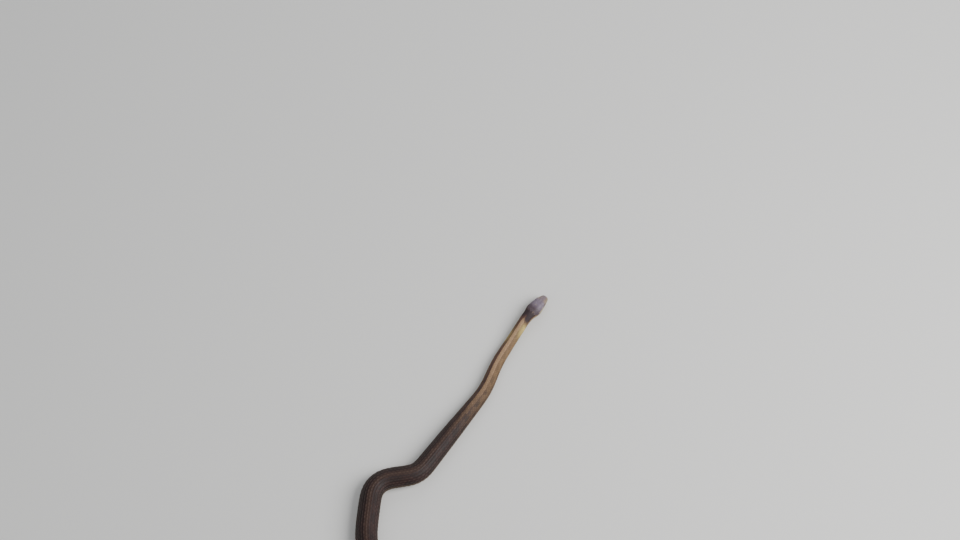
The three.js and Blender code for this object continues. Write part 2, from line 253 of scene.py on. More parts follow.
@dataclass
class Hide:
    """The outer surface of the animal, as a chart that turns (s, f) into points."""

    lie: Lie = field(default_factory=Lie)
    head: HeadShape = field(default_factory=HeadShape)
    body: BodyShape = field(default_factory=BodyShape)
    girth_steps: int = 160
    angle_steps: int = 720
    fine_step: float = 0.12
    coarse_step: float = 0.5
    nearest_tip: float = 1e-5
    tip_steps: int = 110
    side_blend: float = 0.1
    probe: float = 0.02
    probe_share: float = 0.25
    least_girth: float = 1.0
    tip_core: float = 2.0
    core_fade: Ramp = Ramp(0.0, 0.9)

    def __post_init__(self) -> None:
        """Work out the chart's tables of section points, equally spaced round each half girth."""
        tip = np.geomspace(self.nearest_tip, self.head.rounding, self.tip_steps, endpoint=False)
        fine = np.arange(self.head.rounding, self.head.end, self.fine_step)
        coarse = np.arange(self.head.end, self.lie.total + self.coarse_step, self.coarse_step)
        self.stations = np.concatenate([[0.0], tip, fine, coarse])
        angle = np.linspace(0, math.pi, self.angle_steps + 1)
        across, up = self.section(self.stations[:, None], angle[None, :])
        steps = np.hypot(np.diff(across, axis=1), np.diff(up, axis=1))
        arc = np.hstack([np.zeros((len(steps), 1)), np.cumsum(steps, 1)])
        self.half_girths = arc[:, -1]
        self.shares = np.linspace(0, 1, self.girth_steps + 1)
        rounds = arc / np.maximum(self.half_girths, TINY)[:, None]
        self.across_table, self.up_table = (
            np.array([np.interp(self.shares, share, row) for share, row in zip(rounds, values)])
            for values in (across, up)
        )

    def rounded(self, s: Array) -> Array:
        """Return how far the blunt snout has filled out at distances s, from 0 to 1."""
        inward = 1 - np.clip(s / self.head.rounding, 0, 1)
        return (1 - inward ** self.head.bluntness) ** (1 / self.head.bluntness)

    def half_width(self, s: Array) -> Array:
        """Return half the width of the animal at distances s."""
        on_head = along(self.head.half_width, s) * self.rounded(s)
        return np.where(s < self.head.end, on_head, along(self.body.half_width, s))

    def section(self, s: Array, angle: Array) -> tuple[Array, Array]:
        """Give points of the cross sections.

        Args:
            s: Distances from the snout.
            angle: Angles from the middle of the back, to the left and under.

        Returns:
            Distances to the left, and heights over the lowest level of the body.
        """
        on_head = s < self.head.end
        parts = zip(self.head_section(s, angle), self.body_section(s, angle))
        across, up = (np.where(on_head, head, body) for head, body in parts)
        return across, up

    def head_section(self, s: Array, angle: Array) -> tuple[Array, Array]:
        """Give points of the head's cross sections, with the lips and the brow.

        Args:
            s: Distances from the snout.
            angle: Angles from the middle of the crown, to the left and under.

        Returns:
            Distances to the left, and heights.
        """
        head, rounded = self.head, self.rounded(s)
        crown, chin, level = (
            head.tip_height + (height - head.tip_height) * rounded
            for height in (along(head.crown, s), along(head.chin, s), head.widest_height)
        )
        to_body = Ramp(head.mouth_corner, head.end - head.mouth_corner).rise(s)
        square = along(head.squareness, s)
        rise = power(np.cos(angle), square)
        flatten = 1 + (self.body.belly_flattening - 1) * to_body
        lower = np.maximum(chin, level + (level - chin) * rise * flatten)
        up = np.where(rise > 0, level + (crown - level) * rise, lower)
        lip = np.abs(up - along(head.mouth, s)) - head.lip_height
        lips = bell(lip, head.lip_spread) * head.lip_rise * (1 - to_body)
        brow = bell(s - head.brow_at, head.brow_length) * bell(up - head.brow_height, head.brow_spread)
        at_side = np.clip(np.sin(angle) / self.side_blend, -1, 1)
        side = at_side * (lips + brow * head.brow_rise) * rounded
        return self.half_width(s) * power(np.sin(angle), square) + side, up

    def body_section(self, s: Array, angle: Array) -> tuple[Array, Array]:
        """Give points of the body's cross sections, flat under the belly and closed at the tail's tip.

        Args:
            s: Distances from the snout.
            angle: Angles from the middle of the back, to the left and under.

        Returns:
            Distances to the left, and heights.
        """
        body = self.body
        into_tip = np.clip((s - self.lie.total + body.tip_rounding) / body.tip_rounding, 0, 1)
        width = along(body.half_width, s) * np.sqrt(1 - body.tip_closing * into_tip ** 2)
        height = 2 * width * body.height_to_width
        widest = height * body.widest_at
        upper = widest + (height - widest) * np.cos(angle)
        lower = np.maximum(0, widest * (1 + body.belly_flattening * np.cos(angle)))
        return width * np.sin(angle), np.where(np.cos(angle) > 0, upper, lower)

    def locate(self, s: Array, f: Array) -> tuple[Array, Array]:
        """Read the chart's section points.

        Args:
            s: Distances from the snout.
            f: Shares of half the girth; past 1 they go on round the belly.

        Returns:
            Distances to the left, and heights.
        """
        wrapped = (f + 1) % 2 - 1
        column = np.abs(wrapped) * self.girth_steps
        j = np.clip(column.astype(int), 0, self.girth_steps - 1)
        u = column - j
        i = np.clip(np.searchsorted(self.stations, s, side="right") - 1, 0, len(self.stations) - 2)
        t = np.clip((s - self.stations[i]) / (self.stations[i + 1] - self.stations[i]), 0, 1)
        corners = (
            (i, j, (1 - t) * (1 - u)), (i, j + 1, (1 - t) * u),
            (i + 1, j, t * (1 - u)), (i + 1, j + 1, t * u),
        )
        across = sum(self.across_table[row, col] * share for row, col, share in corners)
        up = sum(self.up_table[row, col] * share for row, col, share in corners)
        return across * np.sign(wrapped), up

    def share(self, zone: Zone, s: float, measure: float) -> float:
        """Find where round the head a measure taken on it lies.

        Args:
            zone: What the measure is.
            s: Distance from the snout.
            measure: The measure, in millimetres.

        Returns:
            The share of half the girth.
        """
        across, up = self.locate(np.full_like(self.shares, s), self.shares)
        across[-1], widest = 0.0, int(np.argmax(across))
        if zone is Zone.TOP:
            return float(np.interp(measure, across[:widest + 1], self.shares[:widest + 1]))
        if zone is Zone.UNDER:
            return float(np.interp(measure, across[widest:][::-1], self.shares[widest:][::-1]))
        height = float(along(self.head.mouth, s)) + measure
        return float(np.interp(height, up[::-1], self.shares[::-1]))

    def head_place(self, s: float, height: float, side: int) -> tuple[Array, Array]:
        """Find the place on the side of the head at some height over its lowest level.

        Args:
            s: Distance from the snout.
            height: The height.
            side: 1 for the left side and -1 for the right.

        Returns:
            The place (s, f).
        """
        share = self.share(Zone.SIDE, s, height - float(along(self.head.mouth, s)))
        return np.array(s), np.array(side * share)

    def eye_place(self, side: int) -> tuple[Array, Array]:
        """Return the place (s, f) over the middle of an eye."""
        return self.head_place(self.head.eye_at, self.head.eye_height, side)

    def nostril_place(self, side: int) -> tuple[Array, Array]:
        """Return the place (s, f) of a nostril."""
        return self.head_place(self.head.nostril_at, self.head.nostril_height, side)

    def point(self, s: Array, f: Array) -> Array:
        """Turn places on the hide into points.

        Args:
            s: Distances from the snout.
            f: Shares of half the girth.

        Returns:
            The points.
        """
        across, up = self.locate(s, f)
        origin, left = self.lie.frame(s)
        place = origin + left * across[..., None]
        place[..., 2] += up
        return place

    def normal(self, s: Array, f: Array) -> Array:
        """Find which way the hide faces, turning about the snout's core at its very tip.

        Args:
            s: Distances from the snout.
            f: Shares of half the girth.

        Returns:
            The unit vectors that stand out from the surface.
        """
        ds = np.minimum(self.probe, self.probe_share * s + self.nearest_tip)
        df = self.probe / np.maximum(self.half_girth(s), self.least_girth)
        tailward = self.point(s + ds, f) - self.point(np.maximum(s - ds, 0), f)
        round_left = self.point(s, f + df) - self.point(s, f - df)
        out = unit(np.cross(round_left, tailward))
        core = self.lie.frame(np.array(self.tip_core))[0] + (0, 0, self.head.tip_height)
        beyond_tip = self.core_fade.rise(s)[..., None]
        return unit(out * beyond_tip + unit(self.point(s, f) - core) * (1 - beyond_tip))

    def raised(self, s: Array, f: Array, rise: Array) -> Array:
        """Return the points at (s, f), raised off the surface."""
        return self.point(s, f) + self.normal(s, f) * rise[..., None]

    def half_girth(self, s: Array) -> Array:
        """Return the length from the middle of the back round to the middle of the belly."""
        return np.interp(s, self.stations, self.half_girths)

    def stretch(self, s: Array, f: Array) -> Array:
        """Return how long the surface is over a millimetre of the middle line, as bends stretch it."""
        return np.linalg.norm(self.point(s + 0.5, f) - self.point(s - 0.5, f), axis=-1)


@dataclass(frozen=True)
class SeamStyle:
    """How a seam between shields looks: its depth, its width and how dark it is."""

    depth: float
    width: float
    darkness: float

    def groove(self, distance: Array) -> Array:
        """Return how deep the seam is at distances from its middle."""
        return self.depth * bell(distance, self.width / 2)

    def line(self, distance: Array) -> Array:
        """Return how dark the seam is at distances from its middle, in a line thinner than its groove."""
        return self.darkness * bell(distance, self.width / 3)


@dataclass
class HeadSeams:
    """The seams between the shields of the head, for one side; the other side mirrors them.

    A line is a row of points, each a distance from the snout and a measure of its zone.
    """

    hide: Hide
    spacing: float = 0.07
    mouth_steps: int = 330
    under_most: float = 0.999
    crown_lines: tuple[Table, ...] = (
        ((1.35, 0), (3.0, 0), (5.25, 0)),
        ((10.9, 0), (17.1, 0)),
        ((1.35, 0), (1.3, 1.0), (1.1, 1.5)),
        ((1.3, 1.0), (2.75, 2.0)),
        ((3.0, 0), (2.75, 2.0)),
        ((2.75, 2.0), (4.3, 2.95), (5.5, 2.6)),
        ((5.25, 0), (5.45, 1.35), (5.5, 2.6)),
        ((5.45, 1.35), (7.4, 1.15), (9.4, 1.25), (10.9, 0)),
        ((9.4, 1.25), (9.8, 2.2), (9.4, 3.6)),
        ((9.4, 3.6), (11.6, 4.25), (14.4, 3.9), (16.8, 2.1), (17.1, 0)),
    )
    cheek_lines: tuple[Table, ...] = (
        ((8.2, 2.9), (9.4, 3.1)), ((8.3, 1.9), (9.45, 2.2)), ((12.5, 3.1), (15.4, 3.1)),
    )
    crown_to_lip: tuple[Table, ...] = (
        ((1.1, 1.5), (1.15, 1.5)), ((2.1, 1.62), (1.9, 1.4)), ((2.75, 2.0), (3.2, 1.42)),
        ((4.3, 2.95), (4.7, 1.3)), ((9.4, 3.6), (9.5, 1.75)), ((12.2, 4.2), (12.6, 1.95)),
        ((15.2, 3.5), (15.5, 1.7)),
    )
    upper_lip: Table = (
        (1.15, 1.5), (2.8, 1.42), (4.7, 1.3), (5.8, 0.85), (7.9, 0.85), (9.5, 1.75), (12.6, 1.95),
        (15.5, 1.7), (17.0, 0.9),
    )
    lower_lip: Table = ((1.1, -1.0), (6.0, -1.25), (11.0, -1.45), (15.0, -1.3), (17.0, -0.5))
    mouth_to_lip: tuple[Table, ...] = (
        ((1.0, 0), (1.15, 1.5)), ((2.5, 0), (2.75, 1.42)), ((4.0, 0), (4.3, 1.33)),
        ((5.6, 0), (5.8, 0.85)), ((7.5, 0), (7.7, 0.85)), ((9.6, 0), (9.5, 1.75)),
        ((12.0, 0), (11.9, 1.92)), ((14.6, 0), (14.3, 1.85)), ((1.0, 0), (1.1, -1.0)),
        ((2.3, 0), (2.5, -1.05)), ((3.7, 0), (3.9, -1.13)), ((5.3, 0), (5.5, -1.22)),
        ((7.1, 0), (7.2, -1.3)), ((9.1, 0), (9.1, -1.38)), ((11.4, 0), (11.3, -1.45)),
        ((13.8, 0), (13.6, -1.38)), ((16.0, 0), (15.8, -0.95)),
    )
    chin_lines: tuple[Table, ...] = (
        ((1.9, 0), (6.2, 0), (11.6, 0)),
        ((1.9, 0), (3.2, 1.5), (5.0, 2.0), (6.6, 1.9)),
        ((6.2, 0), (6.6, 1.9)),
        ((6.6, 1.9), (9.2, 2.1), (11.6, 1.1), (11.6, 0)),
    )
    chin_to_lip: tuple[Table, ...] = (((1.9, 0), (1.1, -1.0)), ((6.6, 1.9), (7.2, -1.3)))

    def trace(self, lines: tuple[Table, ...], first: Zone, rest: Zone | None = None) -> Array:
        """Walk the lines of both sides in short steps.

        Args:
            lines: The lines.
            first: The zone that each line's first point is measured in.
            rest: The zone of its other points, if it isn't the same.

        Returns:
            Points of the seams on the surface.
        """
        walked: list[Array] = []
        for line in lines:
            zones = [first] + [rest or first] * (len(line) - 1)
            places = [(s, self.hide.share(zone, s, measure)) for zone, (s, measure) in zip(zones, line)]
            for (s0, f0), (s1, f1) in zip(places, places[1:]):
                girth = float(self.hide.half_girth(np.array(s0)))
                count = max(2, int(math.hypot(s1 - s0, (f1 - f0) * girth) / self.spacing))
                t = np.linspace(0, 1, count)
                s, f = s0 + (s1 - s0) * t, f0 + (f1 - f0) * t
                walked += [self.hide.point(s, side * f) for side in SIDES]
        return np.vstack(walked)

    def shield_seams(self) -> Array:
        """Trace the seams between the shields of the crown and the cheeks.

        Returns:
            Their points.
        """
        return np.vstack([
            self.trace(self.crown_lines, Zone.TOP),
            self.trace(self.cheek_lines, Zone.SIDE),
            self.trace(self.crown_to_lip, Zone.TOP, Zone.SIDE),
        ])

    def labial_seams(self) -> Array:
        """Trace the seams round the shields of the lips and the chin.

        Returns:
            Their points.
        """
        return np.vstack([
            self.trace((self.upper_lip, self.lower_lip) + self.mouth_to_lip, Zone.SIDE),
            self.trace(self.chin_lines, Zone.UNDER),
            self.trace(self.chin_to_lip, Zone.UNDER, Zone.SIDE),
        ])

    def mouth_line(self) -> Array:
        """Trace the mouth.

        Returns:
            Points along it, from corner to corner round the snout.
        """
        stations = self.hide.head.mouth_corner * np.linspace(0, 1, self.mouth_steps) ** 2
        shares = np.array([self.hide.share(Zone.SIDE, s, 0.0) for s in stations])
        first = int(np.argmax(shares < self.under_most)) - 1
        stations, shares = stations[first:], shares[first:]
        left, right = (self.hide.point(stations, side * shares) for side in SIDES)
        line = np.vstack([left[::-1], right])
        length = np.concatenate([[0], np.cumsum(np.linalg.norm(np.diff(line, axis=0), axis=1))])
        even = np.arange(0, length[-1], self.spacing)
        return np.stack([np.interp(even, length, line[:, axis]) for axis in range(3)], 1)


def distances(targets: Array, points: Array, reach: float) -> Array:
    """Measure how far points are from the nearest of some targets.

    Args:
        targets: The targets, such as points of seams.
        points: Points to measure.
        reach: The most that matters.

    Returns:
        The distances, at most the reach.
    """
    tree = KDTree(len(targets))
    for k, target in enumerate(targets):
        tree.insert(target, k)
    tree.balance()
    near = (tree.find(point)[2] for point in points)
    return np.minimum(np.fromiter(near, float, len(points)), reach)


@dataclass
class ScaleRows:
    """Where the scales of the body grow: rows along it, each half a scale ahead of the next.

    Rows count from the middle of the back. Some thin out and end towards the vent and the tail,
    where the girth shrinks, and their neighbours close up.
    """

    hide: Hide
    rows_each_side: int = 9
    first_belly_plate: float = 19.0
    belly_plates: int = 155
    mid_half_width: float = 8.9
    pitch_exponent: float = 0.55
    ends: dict[int, float] = field(default_factory=lambda: {
        4: 300, 7: 462, 5: 476, 2: 492, 8: 512, 3: 534, 6: 556,
    })
    fading: float = 22.0
    least_weight: float = 0.35
    grid_step: float = 0.25
    start: float = 10.0
    full_pitch: float = 2.9
    least_size: float = 0.12
    scaled_share: float = 0.72
    scaled_less_on_tail: float = 0.03
    tail_blend: float = 60.0
    past_rows: float = 10.0

    def __post_init__(self) -> None:
        """Work out the rows' places and the plates' count along the body."""
        grid = self.grid = np.arange(self.start, self.hide.lie.total, self.grid_step)
        weights = [np.ones_like(grid)]
        for row in range(1, self.rows_each_side + 1):
            end = self.ends.get(row, 2 * self.hide.lie.total)
            weights.append(Ramp(end - self.fading, self.fading).fall(grid))
        self.weights = np.array(weights)
        halves = (self.weights[1:] + self.weights[:-1]) / 2
        self.centres = np.vstack([np.zeros_like(grid), np.cumsum(halves, 0)])
        self.half_count = self.centres[-1] + self.weights[-1] / 2
        on_tail = Ramp(self.hide.body.vent, self.tail_blend).rise(grid)
        self.back_share = self.scaled_share - self.scaled_less_on_tail * on_tail
        self.spacing = self.back_share * self.hide.half_girth(grid) / self.half_count
        relative = self.hide.half_width(np.maximum(grid, self.hide.head.end)) / self.mid_half_width
        count = np.cumsum(1 / relative ** self.pitch_exponent) * self.grid_step
        first, last = np.interp((self.first_belly_plate, self.hide.body.vent), grid, count)
        self.count = (count - first) * self.belly_plates / (last - first)
        self.pitch = self.grid_step / np.gradient(self.count)

    def read(self, values: Array, s: Array) -> Array:
        """Return one of the rows' own curves at distances s."""
        return np.interp(s, self.grid, values)

    def row_share(self, row: int, s: Array) -> Array:
        """Return where round the body a row's middle is, with its sign."""
        centre = self.read(self.centres[abs(row)], s) / self.read(self.half_count, s)
        return math.copysign(1, row) * centre * self.read(self.back_share, s)

    def size(self, s: Array) -> Array:
        """Return how large the scales are at distances s, with 1 for the largest."""
        return np.clip(self.read(self.pitch, s) / self.full_pitch, self.least_size, 1)

    def row_number(self, s: Array, f: Array) -> Array:
        """Count rows off the middle of the back, as if no row had ended.

        Args:
            s: Distances from the snout.
            f: Shares of half the girth.

        Returns:
            The numbers, held to a value well past the last row on the belly.
        """
        scaled, last = self.read(self.back_share, s), self.rows_each_side + 0.5
        return np.minimum(np.abs(f) / scaled * last, last + self.past_rows * (np.abs(f) > scaled))

    def ticks(self, phase: Array) -> Array:
        """Return the distances at which a count along the body passes whole numbers."""
        whole = np.arange(math.ceil(phase[0]), math.floor(phase[-1]) + 1)
        return np.interp(whole, phase, self.grid)

    def stations(self, row: int) -> Array:
        """Return the distances from the snout of a row's scales."""
        places = self.ticks(self.count + 0.5 * self.centres[abs(row)])
        return places[self.read(self.weights[abs(row)], places) > self.least_weight]

    def plate_stations(self, start: float, end: float) -> Array:
        """Return the distances from the snout of the belly's plates between two places."""
        places = self.ticks(self.count + 0.5 * (self.half_count + 0.5))
        return places[(places > start) & (places < end)]


@dataclass(frozen=True)
class Marks:
    """The animal's markings, with some painted sunlight and painted shade, as masks from 0 to 1 over the
    hide.

    Rows are counted from the middle of the back: 0 lies on it and 9 is next to the belly. Ramps run
    along the body or over the rows, and a pair has the values of the left and the right side.
    """

    stripe_half_rows: Table = ((27, 0.5), (33, 1.45), (90, 1.25), (150, 0.95), (456, 0.9), (600, 1.2))
    stripe_edge: Ramp = Ramp(-0.25, 0.5)
    stripe_sway: float = 0.12
    stripe_start: Ramp = Ramp(27.0, 3.0)
    side_stripe_row: float = 7.5
    side_stripe_edge: Ramp = Ramp(0.9, 0.4)
    side_stripe_sway: float = 0.15
    side_stripe_start: Ramp = Ramp(20.0, 8.0)
    spot_pitch: float = 5.2
    spot_rows: tuple[float, ...] = (2.7, 5.3)
    spot_sway: float = 1.2
    spot_ends: Ramp = Ramp(-0.55, 1.0)
    spot_edge: Ramp = Ramp(0.4, 1.0)
    spot_start: Ramp = Ramp(30.0, 12.0)
    spot_lost_in_front: float = 0.75
    # front: 1 over the front of the body, falling away behind; the colours it brings are partly painted
    # sunlight there and painted shade further back.
    front: Ramp = Ramp(48.0, 120.0)
    yellow_at: Pair = (47.0, 36.5)
    yellow_strength: Pair = (0.5, 1.0)
    yellow_spread: float = 7.0
    yellow_row: float = 5.2
    yellow_rows: float = 3.0
    yellow_start: Ramp = Ramp(0.0, 4.0)
    nape_end: Pair = (27.6, 30.6)
    nape_edge: Ramp = Ramp(-1.5, 2.5)
    nape_middle_row: float = 3.0
    nape_slant: float = 0.7
    nape_sway: float = 0.75
    nape_side: Ramp = Ramp(5.0, 1.2)
    crown_end: Ramp = Ramp(18.6, 1.6)
    crown_sway: float = 0.8
    crown_side: Ramp = Ramp(6.3, 0.6)
    lip_side: Ramp = Ramp(6.6, 0.6)
    lip_end: Ramp = Ramp(20.0, 6.0)
    lip_sway: float = 1.8
    rear: Ramp = Ramp(10.0, 8.5)
    snout_end: Ramp = Ramp(4.5, 4.5)
    snout_side: Ramp = Ramp(1.4, 2.2)
    snout_on_top: float = 0.3
    # low: the flank's own ochre lower band; on the right it starts near the stripe, which is painted
    # sunlight on that side.
    low_start: Pair = (3.4, 1.1)
    low_fade: Pair = (2.0, 1.2)
    low_end: Ramp = Ramp(9.2, 0.5)
    # Painted shade under the curve of the lower right flank, behind the neck, partly the flank's own
    # red-brown: it holds back the ochre there.
    shade: float = 0.55
    painted_shade_side: Ramp = Ramp(4.2, 2.0)
    painted_shade_start: Ramp = Ramp(62.0, 14.0)
    belly_side: Ramp = Ramp(9.3, 0.6)

    def masks(self, s: Array, f: Array, row: Array, plate: Array, sway: Array) -> dict[str, Array]:
        """Give every mask at places on the hide.

        Args:
            s: Distances from the snout.
            f: Shares of half the girth, minus on the right.
            row: Rows off the middle of the back.
            plate: Counts of belly plates from the head, which pace the spots.
            sway: Small random shifts, alike over one scale.

        Returns:
            The masks by name.
        """
        sided = (self.yellow_at, self.yellow_strength, self.nape_end, self.low_start, self.low_fade)
        yellow_at, yellow_strength, nape_end, low_start, low_fade = (
            np.where(f < 0, right, left) for left, right in sided
        )
        off_stripe = row - along(self.stripe_half_rows, s) - self.stripe_sway * sway
        off_side_stripe = np.abs(row - self.side_stripe_row) - self.side_stripe_sway * sway
        spots = np.zeros_like(s)
        for k, spot_row in enumerate(self.spot_rows):
            wave = np.cos(2 * math.pi * (plate / self.spot_pitch + 0.5 * k) + self.spot_sway * sway)
            spot = self.spot_ends.rise(wave) * self.spot_edge.fall(np.abs(row - spot_row))
            spots = np.maximum(spots, spot)
        on_crown = self.crown_end.fall(s + self.crown_sway * sway)
        slant = self.nape_slant * np.abs(row - self.nape_middle_row) + self.nape_sway * sway
        nape = self.nape_edge.fall(s - nape_end + slant) * self.nape_side.fall(row) * (1 - on_crown)
        front = self.front.fall(s)
        yellow = bell(s - yellow_at, self.yellow_spread) * bell(row - self.yellow_row, self.yellow_rows)
        # Painted shade low on the right flank, partly its own red-brown.
        painted_shade = self.shade * self.painted_shade_side.rise(row) * self.painted_shade_start.rise(s) * (f < 0)
        # On the right the ochre starts near the stripe: painted sunlight on that side.
        low = ease((row - low_start) / low_fade) * self.low_end.fall(row) * (1 - painted_shade)
        snout_side = self.snout_on_top + (1 - self.snout_on_top) * self.snout_side.rise(row)
        return {
            "back": self.stripe_edge.fall(off_stripe) * self.stripe_start.rise(s),
            "side": self.side_stripe_edge.fall(off_side_stripe) * self.side_stripe_start.rise(s),
            "spot": spots * self.spot_start.rise(s) * (1 - self.spot_lost_in_front * front),
            "nape": nape,
            "belly": self.belly_side.rise(row),
            "front": front,
            "yellow": yellow * yellow_strength * self.yellow_start.rise(s - nape_end),
            "low": low,
            "crown": on_crown * self.crown_side.fall(row),
            "lip": self.lip_side.rise(row) * self.lip_end.fall(s + self.lip_sway * sway),
            "rear": self.rear.rise(s),
            "snout": snout_side * self.snout_end.fall(s),
        }


MARK_SETS = {
    "marks_a": ("back", "side", "spot"),
    "marks_b": ("nape", "belly", "front"),
    "marks_c": ("yellow", "low", "tint"),
    "marks_d": ("edge", "keel", "seam"),
    "marks_e": ("crown", "lip", "pit"),
    "marks_f": ("dots", "rear", "snout"),
}


def read_values(items: Items, name: str, width: int = 1, kind: type = float) -> Array:
    """Read one property of a mesh's points, corners or faces.

    Args:
        items: What to read it from.
        name: The property.
        width: How many numbers each item has.
        kind: The type of the numbers.

    Returns:
        The values, with a row to an item where it has several.
    """
    flat = np.empty(len(items) * width, kind)
    items.foreach_get(name, flat)
    return flat.reshape(-1, width) if width > 1 else flat


def set_values(items: Items, name: str, values: Array) -> None:
    """Set one property of a mesh's points, corners or faces.

    Args:
        items: What to set it on.
        name: The property.
        values: The values, in the items' order.
    """
    kind = np.int32 if values.dtype.kind == "i" else np.float32
    items.foreach_set(name, values.astype(kind).ravel())


def write_marks(mesh: Mesh, masks: dict[str, Array]) -> None:
    """Store masks on a mesh's points, three to an attribute.

    Args:
        mesh: The mesh.
        masks: Values by name; a name that is missing is stored as 0.
    """
    count = len(mesh.vertices)
    for name, parts in MARK_SETS.items():
        values = np.stack([np.broadcast_to(masks.get(part, 0.0), count) for part in parts], 1)
        set_values(mesh.attributes.new(name, "FLOAT_VECTOR", "POINT").data, "vector", values)


def points_of(mesh: Mesh) -> Array:
    """Return a mesh's points as an array."""
    return read_values(mesh.vertices, "co", 3)


def set_points(mesh: Mesh, points: Array) -> None:
    """Move a mesh's points to new places."""
    set_values(mesh.vertices, "co", points)
    mesh.update()


def deselect() -> None:
    """Leave object mode with nothing selected."""
    if bpy.context.mode != "OBJECT":
        bpy.ops.object.mode_set(mode="OBJECT")
    bpy.ops.object.select_all(action="DESELECT")


def take(piece: Piece) -> None:
    """Select one object only and make it the active one."""
    deselect()
    piece.select_set(True)
    bpy.context.view_layer.objects.active = piece


def edit_faces(mesh: Mesh, wanted: Callable[[bpy.types.MeshPolygon], bool]) -> None:
    """Enter edit mode with only some faces selected.

    Args:
        mesh: The active object's mesh.
        wanted: Tells whether a face is one of them.
    """
    bpy.context.tool_settings.mesh_select_mode = (False, False, True)
    for part in (mesh.vertices, mesh.edges):
        part.foreach_set("select", np.zeros(len(part), bool))
    mesh.polygons.foreach_set("select", [wanted(polygon) for polygon in mesh.polygons])
    bpy.ops.object.mode_set(mode="EDIT")


def face_outward() -> None:
    """Turn all faces outward in edit mode, and leave it."""
    bpy.ops.mesh.select_all(action="SELECT")
    bpy.ops.mesh.normals_make_consistent(inside=False)
    bpy.ops.object.mode_set(mode="OBJECT")


@dataclass
class Skin:
    """The one skin of the whole animal, with the shields of the head in its own surface."""

    hide: Hide
    seams: HeadSeams
    rows: ScaleRows
    marks: Marks
    columns: int = 96
    first_sample: float = 1e-4
    tip_samples: int = 60
    tip_samples_end: float = 0.1
    outline_start: float = 0.105
    outline_step: float = 0.005
    head_step: float = 0.3
    head_cuts: int = 2
    body_step: float = 3.0
    tail_tip_start: float = 591.0
    tail_tip_step: float = 0.4
    share_digits: int = 6
    weld: float = 1e-5
    head_map: float = 0.5
    coat_depth: float = 0.34
    plate_rise: float = 0.1
    plate_swell: float = 0.05
    swell: Ramp = Ramp(0.0, 0.9)
    shield_edge: Table = (
        (0, 17.1), (0.16, 16.9), (0.30, 15.5), (0.50, 15.5), (0.58, 17.0), (0.66, 16.9), (0.78, 12.4),
        (0.90, 11.8), (1.0, 11.8),
    )
    edge_fade: Ramp = Ramp(0.0, 0.5)
    edge_slope: Ramp = Ramp(0.0, 1.6)
    lip_blend: Ramp = Ramp(-0.11, 0.22)
    spine: Ramp = Ramp(594.0, 3.0)
    dark_fade: Ramp = Ramp(1.0, 3.0)
    shield_seam: SeamStyle = SeamStyle(depth=0.11, width=0.24, darkness=0.8)
    labial_seam: SeamStyle = SeamStyle(depth=0.1, width=0.22, darkness=1.0)
    mouth_seam: SeamStyle = SeamStyle(depth=0.3, width=0.3, darkness=1.0)
    seam_reach: float = 2.0
    crown_dot_at: float = 13.0
    crown_dot_off: float = 0.42
    crown_dot_radius: float = 0.3
    socket_radius: float = 1.5
    socket_depth: float = 0.8
    socket_wall: Ramp = Ramp(-0.75, 0.5)
    socket_clear: Ramp = Ramp(-0.35, 0.4)
    rim_rise: float = 0.1
    rim_spread: float = 0.3
    nostril_spread: float = 0.315
    nostril_depth: float = 0.5

    def ring_stations(self) -> Array:
        """Work out where the rings stand: even over the head's outline, coarser on the body.

        Returns:
            The distances from the snout.
        """
        end, total = self.hide.head.end, self.hide.lie.total
        tip = np.geomspace(self.first_sample, self.tip_samples_end, self.tip_samples)
        s = np.concatenate([tip, np.arange(self.outline_start, end, self.outline_step)])
        length = np.cumsum(np.hypot(np.gradient(s), np.gradient(self.hide.half_width(s))))
        head = np.interp(np.arange(length[0], length[-1], self.head_step), length, s)
        body = np.arange(end, self.tail_tip_start, self.body_step)
        tail_tip = np.arange(self.tail_tip_start, total, self.tail_tip_step)
        return np.concatenate([head, body, tail_tip, [total]])

    def roll(self) -> tuple[Piece, Array, Array]:
        """Make a sheet, roll it up round the body and close its seam and both ends.

        Returns:
            The skin, and the place (s, f) of each of its points.
        """
        stations = self.ring_stations()
        rings = len(stations)
        deselect()
        bpy.ops.mesh.primitive_grid_add(x_subdivisions=self.columns, y_subdivisions=rings - 1, size=2)
        skin = bpy.context.active_object
        mesh = skin.data
        skin.name = mesh.name = "snake_skin"
        head_end = np.searchsorted(stations, self.hide.head.end) / (rings - 1) * 2 - 1
        edit_faces(mesh, lambda face: face.center[1] < head_end)
        bpy.ops.mesh.subdivide(number_cuts=self.head_cuts)
        bpy.ops.object.mode_set(mode="OBJECT")
        flat = points_of(mesh)
        s = np.interp((flat[:, 1] + 1) / 2 * (rings - 1), np.arange(rings), stations)
        f = np.round(flat[:, 0], self.share_digits)
        set_points(mesh, self.hide.point(s, f))
        chart = mesh.attributes.new("chart", "FLOAT_VECTOR", "POINT")
        set_values(chart.data, "vector", np.stack([s, f, 0 * s], 1))
        self.unwrap(mesh, s, f)
        take(skin)
        bpy.ops.object.mode_set(mode="EDIT")
        bpy.ops.mesh.select_all(action="SELECT")
        bpy.ops.mesh.remove_doubles(threshold=self.weld)
        bpy.ops.mesh.select_all(action="DESELECT")
        bpy.ops.mesh.select_mode(type="EDGE")
        bpy.ops.mesh.select_non_manifold()
        bpy.ops.mesh.fill_holes(sides=0)
        face_outward()
        chart = mesh.attributes["chart"]
        s, f = read_values(chart.data, "vector", 3)[:, :2].T
        mesh.attributes.remove(chart)
        return skin, s, f

    def unwrap(self, mesh: Mesh, s: Array, f: Array) -> None:
        """Lay the skin out flat in its map, with a part of the map kept for the head.

        Args:
            mesh: The sheet, before its seam is closed.
            s: Distance from the snout of each point.
            f: Share of half the girth of each point.
        """
        end, total = self.hide.head.end, self.hide.lie.total
        on_body = self.head_map + (1 - self.head_map) * (s - end) / (total - end)
        u = np.where(s < end, self.head_map * s / end, on_body)
        corners = read_values(mesh.loops, "vertex_index", kind=int)
        layer = mesh.uv_layers[0]
        layer.name = BAKE_MAP
        set_values(layer.data, "uv", np.stack([u, (f + 1) / 2], 1)[corners])

